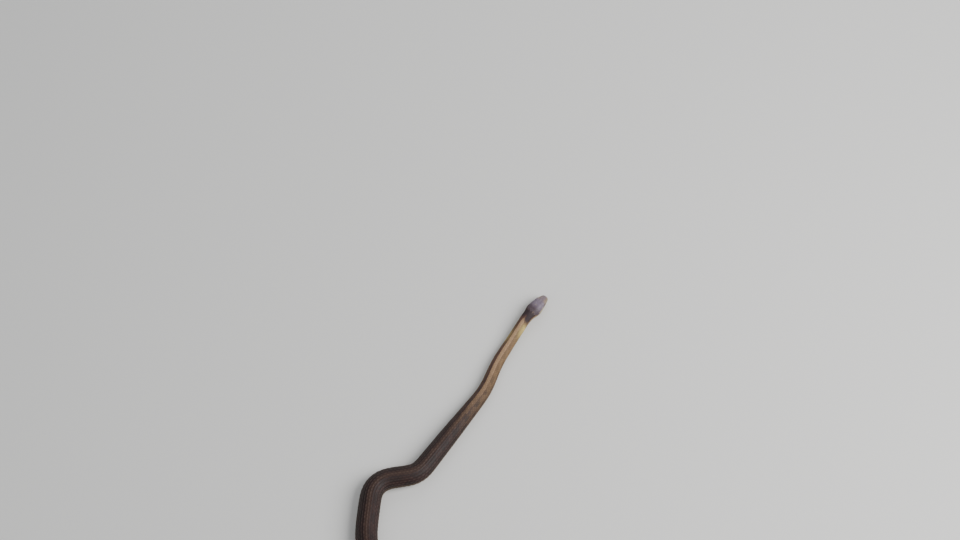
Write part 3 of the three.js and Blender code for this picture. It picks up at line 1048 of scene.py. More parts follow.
    def shields(self, s: Array, f: Array) -> tuple[Array, dict[str, Array]]:
        """Shape the head's shields, with the seams, the sockets of the eyes and the nostrils.

        Args:
            s: Distance from the snout of each point.
            f: Share of half the girth of each point.

        Returns:
            How far they stand off the hide, and the masks by name.
        """
        hide, seams = self.hide, self.seams
        points = hide.point(s, f)
        measured = [
            (style, distances(line, points, self.seam_reach)) for style, line in (
                (self.shield_seam, seams.shield_seams()),
                (self.labial_seam, seams.labial_seams()),
                (self.mouth_seam, seams.mouth_line()),
            )
        ]
        nearest = np.minimum.reduce([distance for _, distance in measured])
        plates = self.plate_rise + self.plate_swell * self.swell.rise(nearest)
        dark, pits = np.zeros_like(s), np.zeros_like(s)
        for style, distance in measured:
            plates = plates - style.groove(distance)
            dark = np.maximum(dark, style.line(distance))
        for side in SIDES:
            from_eye = np.linalg.norm(points - hide.point(*hide.eye_place(side)), axis=1)
            past_socket = from_eye - self.socket_radius
            rim = bell(past_socket, self.rim_spread) * self.rim_rise
            socket = self.socket_wall.fall(past_socket) * self.socket_depth
            plates = plates * self.socket_clear.rise(past_socket) + rim - socket
            from_nostril = np.linalg.norm(points - hide.point(*hide.nostril_place(side)), axis=1)
            # The pit also darkens the finish: painted shade in the nostril's opening.
            pit = bell(from_nostril, self.nostril_spread)
            plates = plates - pit * self.nostril_depth
            pits = np.maximum(pits, pit)
        settled = self.edge_slope.rise(along(self.shield_edge, np.abs(f)) - s)
        across, up = hide.locate(s, f)
        from_dot = np.hypot(s - self.crown_dot_at, np.abs(across) - self.crown_dot_off)
        dots = bell(from_dot, self.crown_dot_radius) * (up > hide.head.widest_height)
        lip = seams.upper_lip
        lip_top = ((0.0, lip[0][1]), *lip, (hide.head.end, lip[-1][1]))
        above = self.lip_blend.rise(up - along(hide.head.mouth, s) - along(lip_top, s))
        masks = {"seam": dark, "pit": pits, "dots": dots, "crown": above, "lip": 1 - above}
        return np.where(plates > 0, plates * settled, plates), masks

    def relief(self, s: Array, f: Array) -> tuple[Array, dict[str, Array]]:
        """Work out how far the skin stands off the hide, and the masks that go with it.

        Args:
            s: Distance from the snout of each point.
            f: Share of half the girth of each point.

        Returns:
            The rises, and the masks by name.
        """
        rise = -self.coat_depth * self.rows.size(s) * self.spine.fall(s)
        near = s < self.hide.head.end
        plates, found = self.shields(s[near], f[near])
        shielded = self.edge_fade.fall(s[near] - along(self.shield_edge, np.abs(f[near])))
        rise[near] = shielded * plates + (1 - shielded) * rise[near]
        masks = {name: np.zeros_like(s) for name in found}
        for name, values in found.items():
            masks[name][near] = values * shielded
        return rise, masks

    def build(self) -> Piece:
        """Make the skin and store its markings.

        Returns:
            The skin.
        """
        skin, s, f = self.roll()
        rise, masks = self.relief(s, f)
        set_points(skin.data, self.hide.raised(s, f, rise) * MM)
        plate = self.rows.read(self.rows.count, s)
        general = self.marks.masks(s, f, self.rows.row_number(s, f), plate, np.zeros_like(s))
        bare = 1 - np.maximum(masks["crown"], masks["lip"])
        for name in ("crown", "lip"):
            joined = np.maximum(masks[name], bare * general[name])
            general[name] = np.where(s < self.marks.crown_end.start, joined, general[name])
        masks.update(general)
        beyond = s - along(self.shield_edge, np.abs(f))
        masks["edge"] = bare * self.dark_fade.rise(beyond) * self.spine.fall(s)
        masks["tint"] = np.full_like(s, EVEN_TINT)
        write_marks(skin.data, masks)
        take(skin)
        bpy.ops.object.shade_smooth()
        return skin


class PlateKind(Enum):
    """The kinds of plate that the coat is made of."""

    KEELED = "keeled scale of the back"
    SMOOTH = "smooth scale of the throat"
    BELLY = "broad plate of the belly"
    TAIL = "one of a pair under the tail"


@dataclass(frozen=True)
class PlateModel:
    """One plate, modelled once: its points, its faces and its own patch of map.

    Along is 0 at the hidden root and 1 at the free tip, across is -1 to 1 from edge to edge.
    """

    along: Array
    across: Array
    height: Array
    keel: Array
    edge: Array
    corners: Array
    totals: Array
    patch: Array


@dataclass(frozen=True)
class PlateCell:
    """Where a plate's faces lie in their unit cell: the top, its rim round that, a small underside."""

    middle: Pair = (0.48, 0.5)
    top_size: float = 0.86
    rim_size: float = 0.94
    under_middle: Pair = (0.965, 0.93)
    under_size: Pair = (0.04, 0.02)


@dataclass(frozen=True)
class PlateMaker:
    """Models one plate: a small grid is shaped, thickened and closed underneath."""

    kind: PlateKind
    cells_along: int
    cells_across: int
    outline: Table
    cell: PlateCell = PlateCell()
    crowding: float = 0.55
    near_floor: float = 0.1
    flat_angle: float = 0.1
    thickness: float = 0.2
    crown: float = 0.2
    crown_start: Ramp = Ramp(-0.09, 0.3)
    keel_height: float = 0.5
    keel_share: float = 0.12
    keel_start: Ramp = Ramp(0.34, 0.16)
    keel_end: Ramp = Ramp(0.85, 0.15)
    keel_drop: float = 0.6
    side_rim_power: int = 4
    tip_rim: Ramp = Ramp(0.78, 0.22)

    def rows_along(self) -> Array:
        """Return the places of the cross rows, closer together towards the tip."""
        t = np.linspace(0, 1, self.cells_along + 1)
        return t + self.crowding * t * (1 - t)

    def columns_across(self) -> Array:
        """Place the lengthwise rows, with three close ones for a keel.

        Returns:
            Their places from -1 to 1.
        """
        t = np.linspace(-1, 1, self.cells_across + 1)
        if self.kind is PlateKind.KEELED:
            middle = self.cells_across // 2
            t[middle - 1], t[middle + 1] = -self.keel_share, self.keel_share
        return t

    def model(self) -> PlateModel:
        """Model the plate.

        Returns:
            The plate, with the height in shares of its own pitch.
        """
        deselect()
        cells = {"x_subdivisions": self.cells_along, "y_subdivisions": self.cells_across}
        bpy.ops.mesh.primitive_grid_add(size=2, **cells)
        sheet = bpy.context.active_object
        bpy.ops.object.mode_set(mode="EDIT")
        bpy.ops.mesh.select_all(action="SELECT")
        bpy.ops.mesh.extrude_region_move(TRANSFORM_OT_translate={"value": (0, 0, 1)})
        bpy.ops.object.mode_set(mode="OBJECT")
        edit_faces(sheet.data, lambda face: face.center[2] < self.near_floor)
        bpy.ops.mesh.dissolve_limited(angle_limit=self.flat_angle)
        face_outward()
        return self.measure(sheet)

    def measure(self, sheet: Piece) -> PlateModel:
        """Turn the closed sheet into a plate's own measures and remove it.

        Args:
            sheet: The closed sheet, from -1 to 1 in both directions and 1 high.

        Returns:
            The plate.
        """
        mesh = sheet.data
        raw = points_of(mesh)
        i = np.rint((raw[:, 0] + 1) / 2 * self.cells_along).astype(int)
        j = np.rint((raw[:, 1] + 1) / 2 * self.cells_across).astype(int)
        top = raw[:, 2] > 0.5
        u, v = self.rows_along()[i], self.columns_across()[j]
        width = along(self.outline, u)
        on_keel = (j == self.cells_across // 2) & top & (self.kind is PlateKind.KEELED)
        keel = on_keel * self.keel_start.rise(u) * (1 - self.keel_drop * self.keel_end.rise(u))
        height = np.where(top, self.crown * (1 - v * v) * self.crown_start.rise(u), -self.thickness)
        rim = np.where(top, np.maximum(np.abs(v) ** self.side_rim_power, self.tip_rim.rise(u)), 1.0)
        corners = read_values(mesh.loops, "vertex_index", kind=int)
        totals = read_values(mesh.polygons, "loop_total", kind=int)
        patch = self.lay_out(u, v, width, top, corners, totals)
        bpy.data.objects.remove(sheet)
        return PlateModel(u, v * width, height, keel * self.keel_height, rim, corners, totals, patch)

    def lay_out(
        self, u: Array, v: Array, width: Array, top: Array, corners: Array, totals: Array,
    ) -> Array:
        """Lay the plate's faces out in their unit cell.

        Args:
            u: Place along of each point.
            v: Place across of each point, before the outline narrows it.
            width: The outline's half width at each point.
            top: Whether each point is on the upper side.
            corners: Point of each face corner.
            totals: Corners of each face.

        Returns:
            The place in the cell of each face corner.
        """
        cell = self.cell
        size = np.where(top, cell.top_size, cell.rim_size)
        x, y = cell.middle
        large = np.stack([x + (u - 0.5) * size, y + v * width * 0.5 * size], 1)[corners]
        (x, y), (long, wide) = cell.under_middle, cell.under_size
        small = np.stack([x + (u - 0.5) * long, y + v * wide], 1)[corners]
        face = np.repeat(np.arange(len(totals)), totals)
        under = np.array([not top[corners[face == k]].any() for k in range(len(totals))])[face]
        return np.where(under[:, None], small, large)


@dataclass(frozen=True)
class Batch:
    """Copies of one plate: where each stands, its points, its place in the map and its masks."""

    model: PlateModel
    s: Array
    points: Array
    cells: Array
    masks: dict[str, Array]

    def between(self, start: float, end: float) -> "Batch":
        """Pick the copies that stand on one length of the body.

        Args:
            start: Where the length starts.
            end: Where it ends.

        Returns:
            A batch of those copies.
        """
        keep = (self.s >= start) & (self.s < end)
        masks = {name: values[keep] for name, values in self.masks.items()}
        return Batch(self.model, self.s[keep], self.points[keep], self.cells[keep], masks)


@dataclass
class Coat:
    """The scales of the back and flanks, the plates of the belly and those under the tail."""

    hide: Hide
    rows: ScaleRows
    marks: Marks
    skin: Skin
    root_depth: float = 0.27
    sink: float = 0.08
    tuck: float = 0.8
    first_point: float = 0.5
    last_point_gap: float = 0.01
    last_scale: float = 596.6
    middle_along: float = 0.42
    relief: float = 0.36
    overlap_along: float = 1.62
    overlap_across: float = 1.2
    keel_growth: Ramp = Ramp(17.0, 23.0)
    first_keel: float = 0.3
    weak_keels: dict[int, float] = field(default_factory=lambda: {9: 0.25, 8: 0.7})
    evenness: float = 0.75
    stripe_evenness: float = 0.35
    belly_dot_at: float = 0.87
    belly_dot_width: float = 0.05
    belly_dot_length: float = 0.16
    belly_dot_chance: Ramp = Ramp(0.15, 0.3)
    full_round: float = 1.01
    throat_pale: Ramp = Ramp(16.0, 34.0)
    throat_rows: int = 5
    throat_gap: float = 0.2
    throat_overlap: float = 0.4
    map_start: float = -0.72
    map_height: float = 2.0
    map_margin: float = 3.0
    smooth_degrees: float = 50.0
    seed: int = 11
    lengths: tuple[tuple[str, float], ...] = (
        ("neck", 8), ("torso_1", 78), ("torso_2", 168), ("torso_3", 226), ("torso_4", 300),
        ("torso_5", 344), ("torso_6", 398), ("tail_1", 456), ("tail_2", 504), ("tail_3", 552),
    )
    makers: tuple[PlateMaker, ...] = (
        PlateMaker(PlateKind.KEELED, 7, 6, (
            (0, 0.5), (0.2, 0.86), (0.42, 1.0), (0.6, 0.97), (0.8, 0.75), (0.93, 0.45), (1, 0.16),
        )),
        PlateMaker(PlateKind.SMOOTH, 5, 4, (
            (0, 0.5), (0.2, 0.86), (0.45, 1.0), (0.7, 0.9), (0.88, 0.6), (1, 0.2),
        )),
        PlateMaker(PlateKind.BELLY, 4, 18, ((0, 0.96), (0.7, 1.0), (0.9, 0.98), (1, 0.95))),
        PlateMaker(PlateKind.TAIL, 4, 8, ((0, 0.96), (0.6, 1.0), (0.85, 0.94), (1, 0.8))),
    )

    def __post_init__(self) -> None:
        """Model each kind of plate once, and start the source of random numbers."""
        self.models = {maker.kind: maker.model() for maker in self.makers}
        self.chance = np.random.default_rng(self.seed)

    def place(
        self, kind: PlateKind, s: Array, middle: Callable[[Array], Array], half_share: Array,
        keel: float = 0.0,
    ) -> Batch:
        """Lay copies of a plate on the body, root sunk and tip free.

        Args:
            kind: Which plate.
            s: Distance from the snout of each copy's middle.
            middle: Gives where round the body the row's middle is, at given distances.
            half_share: Half of each copy's own width, as a share of half the girth.
            keel: How strong the keel is.

        Returns:
            The copies.
        """
        rows, model = self.rows, self.models[kind]
        stands, tint = s, self.chance.random(len(s))[:, None]
        s, half_share = s[:, None], half_share[:, None]
        centre, pitch = middle(s), rows.read(rows.pitch, s)
        reach = self.overlap_along * pitch / np.sqrt(self.hide.stretch(s, centre))
        at = s + (model.along - self.middle_along) * reach
        at = np.clip(at, self.first_point, self.hide.lie.total - self.last_point_gap)
        wide = self.overlap_across if kind in (PlateKind.KEELED, PlateKind.SMOOTH) else 1.0
        around = middle(at) + model.across * (half_share * wide)
        ramp = self.root_depth * (model.along - 1) - self.sink
        strength = keel * (self.first_keel + (1 - self.first_keel) * self.keel_growth.rise(s))
        rise = (ramp + (model.height + model.keel * strength) * self.relief) * rows.size(s)
        points = self.hide.raised(at, around, rise)
        points[..., 2] = np.maximum(points[..., 2], 0.0)
        x, y = (model.patch - 0.5).T
        cells = np.stack([s + x * pitch, centre + y * 2 * half_share], -1)
        masks = self.mark(kind, s, centre, at, around, tint)
        masks["keel"] = model.keel * strength / PlateMaker.keel_height
        masks = {name: np.broadcast_to(values, at.shape) for name, values in masks.items()}
        return Batch(model, stands, points, cells, masks)

    def mark(
        self, kind: PlateKind, s: Array, centre: Array, at: Array, around: Array, tint: Array,
    ) -> dict[str, Array]:
        """Work out the markings of copies of a plate, mostly even over each copy.

        Args:
            kind: Which plate.
            s: Distance from the snout of each copy's middle.
            centre: Where round the body each copy's middle is.
            at: Distances from the snout of the copies' points.
            around: Where round the body those points are.
            tint: A random number for each copy.

        Returns:
            The masks by name.
        """
        rows, model = self.rows, self.models[kind]
        sway, plate = (tint - EVEN_TINT) * 2, rows.read(rows.count, s)
        whole = self.marks.masks(s, centre, rows.row_number(s, centre), plate, sway)
        soft = self.marks.masks(at, around, rows.row_number(at, around), plate, sway)
        masks = {"tint": tint, "edge": model.edge}
        for name, values in whole.items():
            share = self.stripe_evenness if name == "back" else self.evenness
            masks[name] = share * values + (1 - share) * soft[name]
        if kind is not PlateKind.KEELED:
            masks["belly"] = np.ones_like(s)
            masks["lip"] = self.throat_pale.fall(s)
        if kind is PlateKind.BELLY:
            off_dot = np.abs(model.across) - self.belly_dot_at
            dots = bell(off_dot, self.belly_dot_width) * bell(model.along - 0.5, self.belly_dot_length)
            masks["spot"] = dots * self.belly_dot_chance.rise(tint)
        return masks

    def under(self, offset: float, s: Array) -> Array:
        """Find places under the body.

        Args:
            offset: How far off the middle of the belly, in shares of the belly's half width.
            s: Distances from the snout.

        Returns:
            The shares of half the girth, which go on past 1 on the far side.
        """
        return 1 - offset * (1 - self.rows.read(self.rows.back_share, s))

    def back_scales(self) -> list[Batch]:
        """Lay out the rows of keeled scales, from the lowest on the right to the lowest on the left.

        Returns:
            One batch for each row.
        """
        rows, laid = self.rows, []
        for row in range(-rows.rows_each_side, rows.rows_each_side + 1):
            middle = partial(rows.row_share, row)
            s = rows.stations(row)
            s = s[s < self.last_scale]
            edge = along(self.skin.shield_edge, np.abs(middle(s)))
            s = s[s > edge - self.tuck * rows.read(rows.pitch, s)]
            weight = rows.read(rows.weights[abs(row)], s)
            half = rows.read(rows.spacing, s) * weight / self.hide.half_girth(s) / 2
            laid.append(self.place(PlateKind.KEELED, s, middle, half, self.weak_keels.get(abs(row), 1.0)))
        return laid

    def belly_plates(self) -> list[Batch]:
        """Lay out the broad plates of the belly and the pairs under the tail.

        Returns:
            One batch for the belly and two for the tail.
        """
        rows, vent = self.rows, self.hide.body.vent
        s = rows.plate_stations(rows.first_belly_plate, vent)
        half = self.full_round - rows.read(rows.back_share, s)
        laid = [self.place(PlateKind.BELLY, s, np.ones_like, half)]
        s = rows.plate_stations(vent, self.last_scale)
        half = (self.full_round - rows.read(rows.back_share, s)) / 2
        for side in SIDES:
            laid.append(self.place(PlateKind.TAIL, s, partial(self.under, side / 2), half))
        return laid

    def throat_scales(self) -> list[Batch]:
        """Lay out the small scales between the chin's shields and the first plate of the belly.

        Returns:
            One batch for each row.
        """
        rows, laid, spread = self.rows, [], self.throat_rows + 0.5
        for row in range(-self.throat_rows, self.throat_rows + 1):
            middle = partial(self.under, row / spread)
            s = rows.stations(abs(row) % 2)
            start = along(self.skin.shield_edge, np.abs((middle(s) + 1) % 2 - 1)) + self.throat_gap
            s = s[(s > start) & (s < rows.first_belly_plate + self.throat_overlap)]
            half = (1 - rows.read(rows.back_share, s)) / spread / 2
            laid.append(self.place(PlateKind.SMOOTH, s, middle, half))
        return laid

    def build(self) -> list[Piece]:
        """Make one piece of coat for each length of the body.

        Returns:
            The pieces.
        """
        laid = self.back_scales() + self.belly_plates() + self.throat_scales()
        ends = [start for _, start in self.lengths[1:]] + [self.hide.lie.total]
        return [
            self.join(f"scales_{name}", [batch.between(start, end) for batch in laid], start, end)
            for (name, start), end in zip(self.lengths, ends)
        ]

    def join(self, name: str, parts: list[Batch], start: float, end: float) -> Piece:
        """Make one mesh from batches of plates.

        Args:
            name: The piece's name.
            parts: The batches.
            start: Where this length of the body starts.
            end: Where it ends.

        Returns:
            The piece.
        """
        corners, offset = [], 0
        for part in parts:
            copies, size = part.points.shape[:2]
            shift = offset + size * np.arange(copies)
            corners.append((part.model.corners + shift[:, None]).ravel())
            offset += copies * size
        corners = np.concatenate(corners)
        points = np.vstack([part.points.reshape(-1, 3) for part in parts]) * MM
        totals = np.concatenate([np.tile(part.model.totals, len(part.s)) for part in parts])
        mesh = bpy.data.meshes.new(name)
        mesh.vertices.add(len(points))
        set_values(mesh.vertices, "co", points)
        mesh.loops.add(len(corners))
        set_values(mesh.loops, "vertex_index", corners)
        mesh.polygons.add(len(totals))
        set_values(mesh.polygons, "loop_start", np.concatenate([[0], np.cumsum(totals)[:-1]]))
        set_values(mesh.polygons, "loop_total", totals)
        mesh.update(calc_edges=True)
        cells = np.vstack([part.cells.reshape(-1, 2) for part in parts])
        corner = (start - self.map_margin, self.map_start)
        size = (end - start + 2 * self.map_margin, self.map_height)
        layer = mesh.uv_layers.new(name=BAKE_MAP)
        set_values(layer.data, "uv", np.clip((cells - corner) / size, 0, 1))
        write_marks(mesh, {
            mask: np.concatenate([part.masks[mask].ravel() for part in parts]) for mask in parts[0].masks
        })
        mesh.validate()
        piece = bpy.data.objects.new(name, mesh)
        bpy.context.scene.collection.objects.link(piece)
        take(piece)
        bpy.ops.object.shade_smooth_by_angle(angle=math.radians(self.smooth_degrees))
        return piece


@dataclass
class Eye:
    """One eye: a flattened ball, on which its finish draws the iris and the pupil."""

    hide: Hide
    side: int
    radius: float = 1.75
    depth: float = 1.25
    proud: float = 0.5
    tilt: float = 0.5
    segments: int = 48
    rings: int = 32
    past_rim: float = 1.5

    def build(self) -> Piece:
        """Make the eye.

        Returns:
            The eye, with how far each point is from the pupil's middle stored on it.
        """
        deselect()
        bpy.ops.mesh.primitive_uv_sphere_add(segments=self.segments, ring_count=self.rings, radius=1)
        eye = bpy.context.active_object
        eye.name = eye.data.name = "eyeball_left" if self.side > 0 else "eyeball_right"
        bpy.ops.object.mode_set(mode="EDIT")
        bpy.ops.transform.resize(value=(self.radius, self.radius, self.depth))
        bpy.ops.object.mode_set(mode="OBJECT")
        local = points_of(eye.data)
        place = self.hide.eye_place(self.side)
        left = self.hide.lie.frame(place[0])[1]
        out = unit(left * self.side * (1 - self.tilt) + self.hide.normal(*place) * self.tilt)
        forward = unit(np.cross(out, (0.0, 0.0, 1.0)))
        basis = np.stack([forward, np.cross(out, forward), out], 1)
        centre = self.hide.point(*place) + out * (self.proud - self.depth)
        set_points(eye.data, (local @ basis.T + centre) * MM)
        off_axis = np.hypot(local[:, 0], local[:, 1]) / self.radius
        front = np.where(local[:, 2] > 0, off_axis, self.past_rim)
        set_values(eye.data.attributes.new("from_pupil", "FLOAT", "POINT").data, "value", front)
        take(eye)
        bpy.ops.object.mode_set(mode="EDIT")
        face_outward()
        bpy.ops.object.shade_smooth()
        return eye


@dataclass(frozen=True)
class Noise:
    """The grain of a noise: grains to the metre, detail and how rough the detail is."""

    scale: float
    detail: float
    roughness: float = 0.6


class Shader:
    """Short names for making and joining the nodes of one tree.

    The mix node has sockets of one name for several types; its colours have the places given here.
    """

    colour_inputs = (6, 7)
    colour_output = 2

    def __init__(self, tree: bpy.types.NodeTree) -> None:
        """Keep the tree."""
        self.tree = tree

    def node(self, kind: str, **settings: object) -> Node:
        """Add a node.

        Args:
            kind: The node's type.
            settings: Its properties by name.

        Returns:
            The node.
        """
        node = self.tree.nodes.new(kind)
        for name, value in settings.items():
            setattr(node, name, value)
        return node

    def link(self, source: object, target: Socket) -> None:
        """Join a socket to another, or set it where the source is a plain value.

        Args:
            source: A socket, a number or a colour.
            target: The socket that takes it.
        """
        if isinstance(source, Socket):
            self.tree.links.new(source, target)
        else:
            target.default_value = (*source, 1.0) if isinstance(source, tuple) else source

    def feed(self, node: Node, sources: dict[str, object]) -> Node:
        """Join or set several inputs of a node.

        Args:
            node: The node.
            sources: Sockets or plain values by the input's name.

        Returns:
            The node.
        """
        for name, source in sources.items():
            self.link(source, node.inputs[name])
        return node

    def mix(self, share: object, first: object, second: object, blend: str = "MIX") -> Socket:
        """Mix two colours.

        Args:
            share: How much of the second, a socket or a number.
            first: A socket or a colour.
            second: A socket or a colour.
            blend: The way of mixing.

        Returns:
            The mixed colour.
        """
        node = self.node("ShaderNodeMix", data_type="RGBA", blend_type=blend)
        self.feed(node, {"Factor": share})
        for source, index in zip((first, second), self.colour_inputs):
            self.link(source, node.inputs[index])
        return node.outputs[self.colour_output]

    def math(self, operation: str, first: object, second: object) -> Socket:
        """Work out one step of arithmetic.

        Args:
            operation: The operation's name.
            first: A socket or a number.
            second: A socket or a number.

        Returns:
            The result.
        """
        node = self.node("ShaderNodeMath", operation=operation)
        self.link(first, node.inputs[0])
        self.link(second, node.inputs[1])
        return node.outputs[0]

    def times(self, first: object, second: object) -> Socket:
        """Multiply two values."""
        return self.math("MULTIPLY", first, second)

    def plus(self, first: object, second: object) -> Socket:
        """Add two values."""
        return self.math("ADD", first, second)

    def minus(self, first: object, second: object) -> Socket:
        """Take the second value from the first."""
        return self.math("SUBTRACT", first, second)

    def marks(self) -> dict[str, Socket]:
        """Read the markings stored on the mesh.

        Returns:
            Their sockets by name.
        """
        found = {}
        for name, parts in MARK_SETS.items():
            stored = self.node("ShaderNodeAttribute", attribute_name=name)
            split = self.node("ShaderNodeSeparateXYZ")
            self.link(stored.outputs["Vector"], split.inputs[0])
            found.update(dict(zip(parts, split.outputs)))
        return found

    def noise(self, grain: Noise) -> Socket:
        """Make noise over the piece's own coordinates.

        Args:
            grain: Its size and detail.

        Returns:
            The noise, about 0.5.
        """
        place = self.node("ShaderNodeTexCoord").outputs["Object"]
        return self.feed(self.node("ShaderNodeTexNoise"), {
            "Vector": place, "Scale": grain.scale, "Detail": grain.detail, "Roughness": grain.roughness,
        }).outputs["Fac"]


def new_group(
    name: str, inputs: dict[str, tuple[str, object]], outputs: dict[str, str],
) -> bpy.types.NodeTree:
    """Start a group of nodes with named sockets.

    Args:
        name: The group's name.
        inputs: Socket types and starting values by name.
        outputs: Socket types by name.

    Returns:
        The group.
    """
    tree = bpy.data.node_groups.new(name, "ShaderNodeTree")
    for label, (kind, value) in inputs.items():
        socket = tree.interface.new_socket(label, in_out="INPUT", socket_type=kind)
        socket.default_value = (*value, 1.0) if isinstance(value, tuple) else value
    for label, kind in outputs.items():
        tree.interface.new_socket(label, in_out="OUTPUT", socket_type=kind)
    return tree


@dataclass(frozen=True)
class Palette:
    """The animal's colours, as light that they send back, with painted sunlight and painted shade in some of
    them.
    """

    # Front and mid colours: the lighter front is partly painted sunlight and the near-black middle partly
    # painted shade, over the animal's own darkening towards its middle.
    field_front: Colour = (0.098, 0.046, 0.032)
    field_mid: Colour = (0.022, 0.0080, 0.0078)
    low_front: Colour = (0.240, 0.145, 0.070)
    low_mid: Colour = (0.033, 0.0135, 0.0118)
    stripe_front: Colour = (0.39, 0.245, 0.135)
    stripe_mid: Colour = (0.050, 0.025, 0.018)
    yellow: Colour = (0.64, 0.50, 0.16)
    side_stripe: Colour = (0.25, 0.175, 0.09)
    spot: Colour = (0.015, 0.0075, 0.0070)
    nape: Colour = (0.031, 0.0155, 0.0185)
    belly: Colour = (0.40, 0.40, 0.29)
    crown: Colour = (0.180, 0.140, 0.182)
    crown_rear: Colour = (0.084, 0.058, 0.070)
    snout: Colour = (0.30, 0.215, 0.135)
    lip: Colour = (0.36, 0.30, 0.19)


@dataclass
class Effects:
    """The groups of nodes that more than one finish uses, and how strongly each mark shows."""

    palette: Palette
    spot_strength: float = 0.72
    side_strength: float = 0.8
    # How much the side stripe dulls behind the front: partly painted shade on the rear of the body.
    side_dulling: float = 0.72
    belly_spot_strength: float = 0.9
    snout_strength: float = 0.8
    coarse: Noise = Noise(420.0, 4.0)
    fine: Noise = Noise(3200.0, 3.0)
    coarse_weight: float = 1.3
    tint_weight: float = 0.5
    even_spread: float = 0.9
    roughness_spread: float = 0.25
    fine_height: float = 0.6

    def __post_init__(self) -> None:
        """Build each group once."""
        self.markings = self.build_markings()
        self.grain = self.build_grain()

    def build_markings(self) -> bpy.types.NodeTree:
        """Build the group that turns the stored markings into colour.

        Returns:
            The group.
        """
        labels = {item.name: item.name.replace("_", " ").title() for item in fields(self.palette)}
        colours = {label: ("NodeSocketColor", getattr(self.palette, name)) for name, label in labels.items()}
        tree = new_group("markings", colours, {"Color": "NodeSocketColor"})
        make = Shader(tree)
        outputs = make.node("NodeGroupInput").outputs
        given = {name: outputs[label] for name, label in labels.items()}
        marks = make.marks()
        # Mixing by front gives the body's front its lighter colours and its rear its dark ones: partly
        # painted sunlight and painted shade, partly the animal's own colours.
        front = marks["front"]
        field_colour = make.mix(front, given["field_mid"], given["field_front"])
        low = make.mix(front, given["low_mid"], given["low_front"])
        flank = make.mix(marks["low"], field_colour, low)
        flank = make.mix(make.times(marks["spot"], self.spot_strength), flank, given["spot"])
        stripe = make.mix(front, given["stripe_mid"], given["stripe_front"])
        colour = make.mix(marks["back"], flank, stripe)
        dull_side = make.mix(self.side_dulling, given["side_stripe"], flank)
        side = make.mix(front, dull_side, given["side_stripe"])
        colour = make.mix(make.times(marks["side"], self.side_strength), colour, side)
        for name in ("yellow", "nape"):
            colour = make.mix(marks[name], colour, given[name])
        belly = make.mix(make.times(marks["spot"], self.belly_spot_strength), given["belly"], given["spot"])
        colour = make.mix(marks["belly"], colour, belly)
        crown = make.mix(marks["rear"], given["crown"], given["crown_rear"])
        crown = make.mix(make.times(marks["snout"], self.snout_strength), crown, given["snout"])
        colour = make.mix(marks["crown"], colour, crown)
        colour = make.mix(marks["lip"], colour, given["lip"])
        make.feed(make.node("NodeGroupOutput"), {"Color": colour})
        return tree

    def build_grain(self) -> bpy.types.NodeTree:
        """Build the group for mottling and fine grain of horny scales.

        Returns:
            The group.
        """
        tree = new_group(
            "horny_grain",
            {"Color": ("NodeSocketColor", (0.5, 0.5, 0.5)), "Tint": ("NodeSocketFloat", EVEN_TINT),
             "Mottling": ("NodeSocketFloat", 0.3), "Gloss": ("NodeSocketFloat", 0.5)},
            {"Color": "NodeSocketColor", "Roughness": "NodeSocketFloat", "Height": "NodeSocketFloat"},
        )
        make = Shader(tree)
        given = make.node("NodeGroupInput").outputs
        coarse, fine = make.noise(self.coarse), make.noise(self.fine)
        spread = make.plus(
            make.times(coarse, self.coarse_weight), make.times(given["Tint"], self.tint_weight))
        bright = make.plus(make.times(make.minus(spread, self.even_spread), given["Mottling"]), 1.0)
        shade = make.node("ShaderNodeCombineXYZ")
        for socket in shade.inputs:
            make.link(bright, socket)
        unevenness = make.times(make.minus(fine, 0.5), self.roughness_spread)
        make.feed(make.node("NodeGroupOutput"), {
            "Color": make.mix(1.0, given["Color"], shade.outputs[0], "MULTIPLY"),
            "Roughness": make.plus(given["Gloss"], unevenness),
            "Height": make.plus(make.times(fine, self.fine_height), coarse),
        })
        return tree


def new_finish(name: str) -> tuple[bpy.types.Material, Shader, Node]:
    """Start a finish with its shader.

    Args:
        name: The finish's name.

    Returns:
        The material, its node maker and its shader node.
    """
    material = bpy.data.materials.new(name)
    material.use_nodes = True
    return material, Shader(material.node_tree), material.node_tree.nodes["Principled BSDF"]


@dataclass(frozen=True)
class HornFinish:
    """What the finishes of scales and shields share: satin horn with the markings and a grain."""

    effects: Effects
    gloss: float = 0.54
    mottling: float = 0.35
    bump: float = 0.25
    bump_depth: float = 0.00004
    specular: float = 0.33

    def marked(self, make: Shader) -> Socket:
        """Return the colour that the markings give."""
        return make.node("ShaderNodeGroup", node_tree=self.effects.markings).outputs["Color"]

    def dress(self, make: Shader, shader: Node, colour: Socket, tint: Socket) -> None:
        """Give a colour its grain and join it to the shader.

        Args:
            make: The node maker.
            shader: The shader node.
            colour: The colour.
            tint: The scales' own random numbers.
        """
        grain = make.feed(make.node("ShaderNodeGroup", node_tree=self.effects.grain), {
            "Color": colour, "Tint": tint, "Mottling": self.mottling, "Gloss": self.gloss,
        })
        bump = make.feed(make.node("ShaderNodeBump"), {
            "Strength": self.bump, "Distance": self.bump_depth, "Height": grain.outputs["Height"],
        })
        make.feed(shader, {
            "Base Color": grain.outputs["Color"], "Roughness": grain.outputs["Roughness"],
            "Normal": bump.outputs["Normal"], "Specular IOR Level": self.specular,
        })


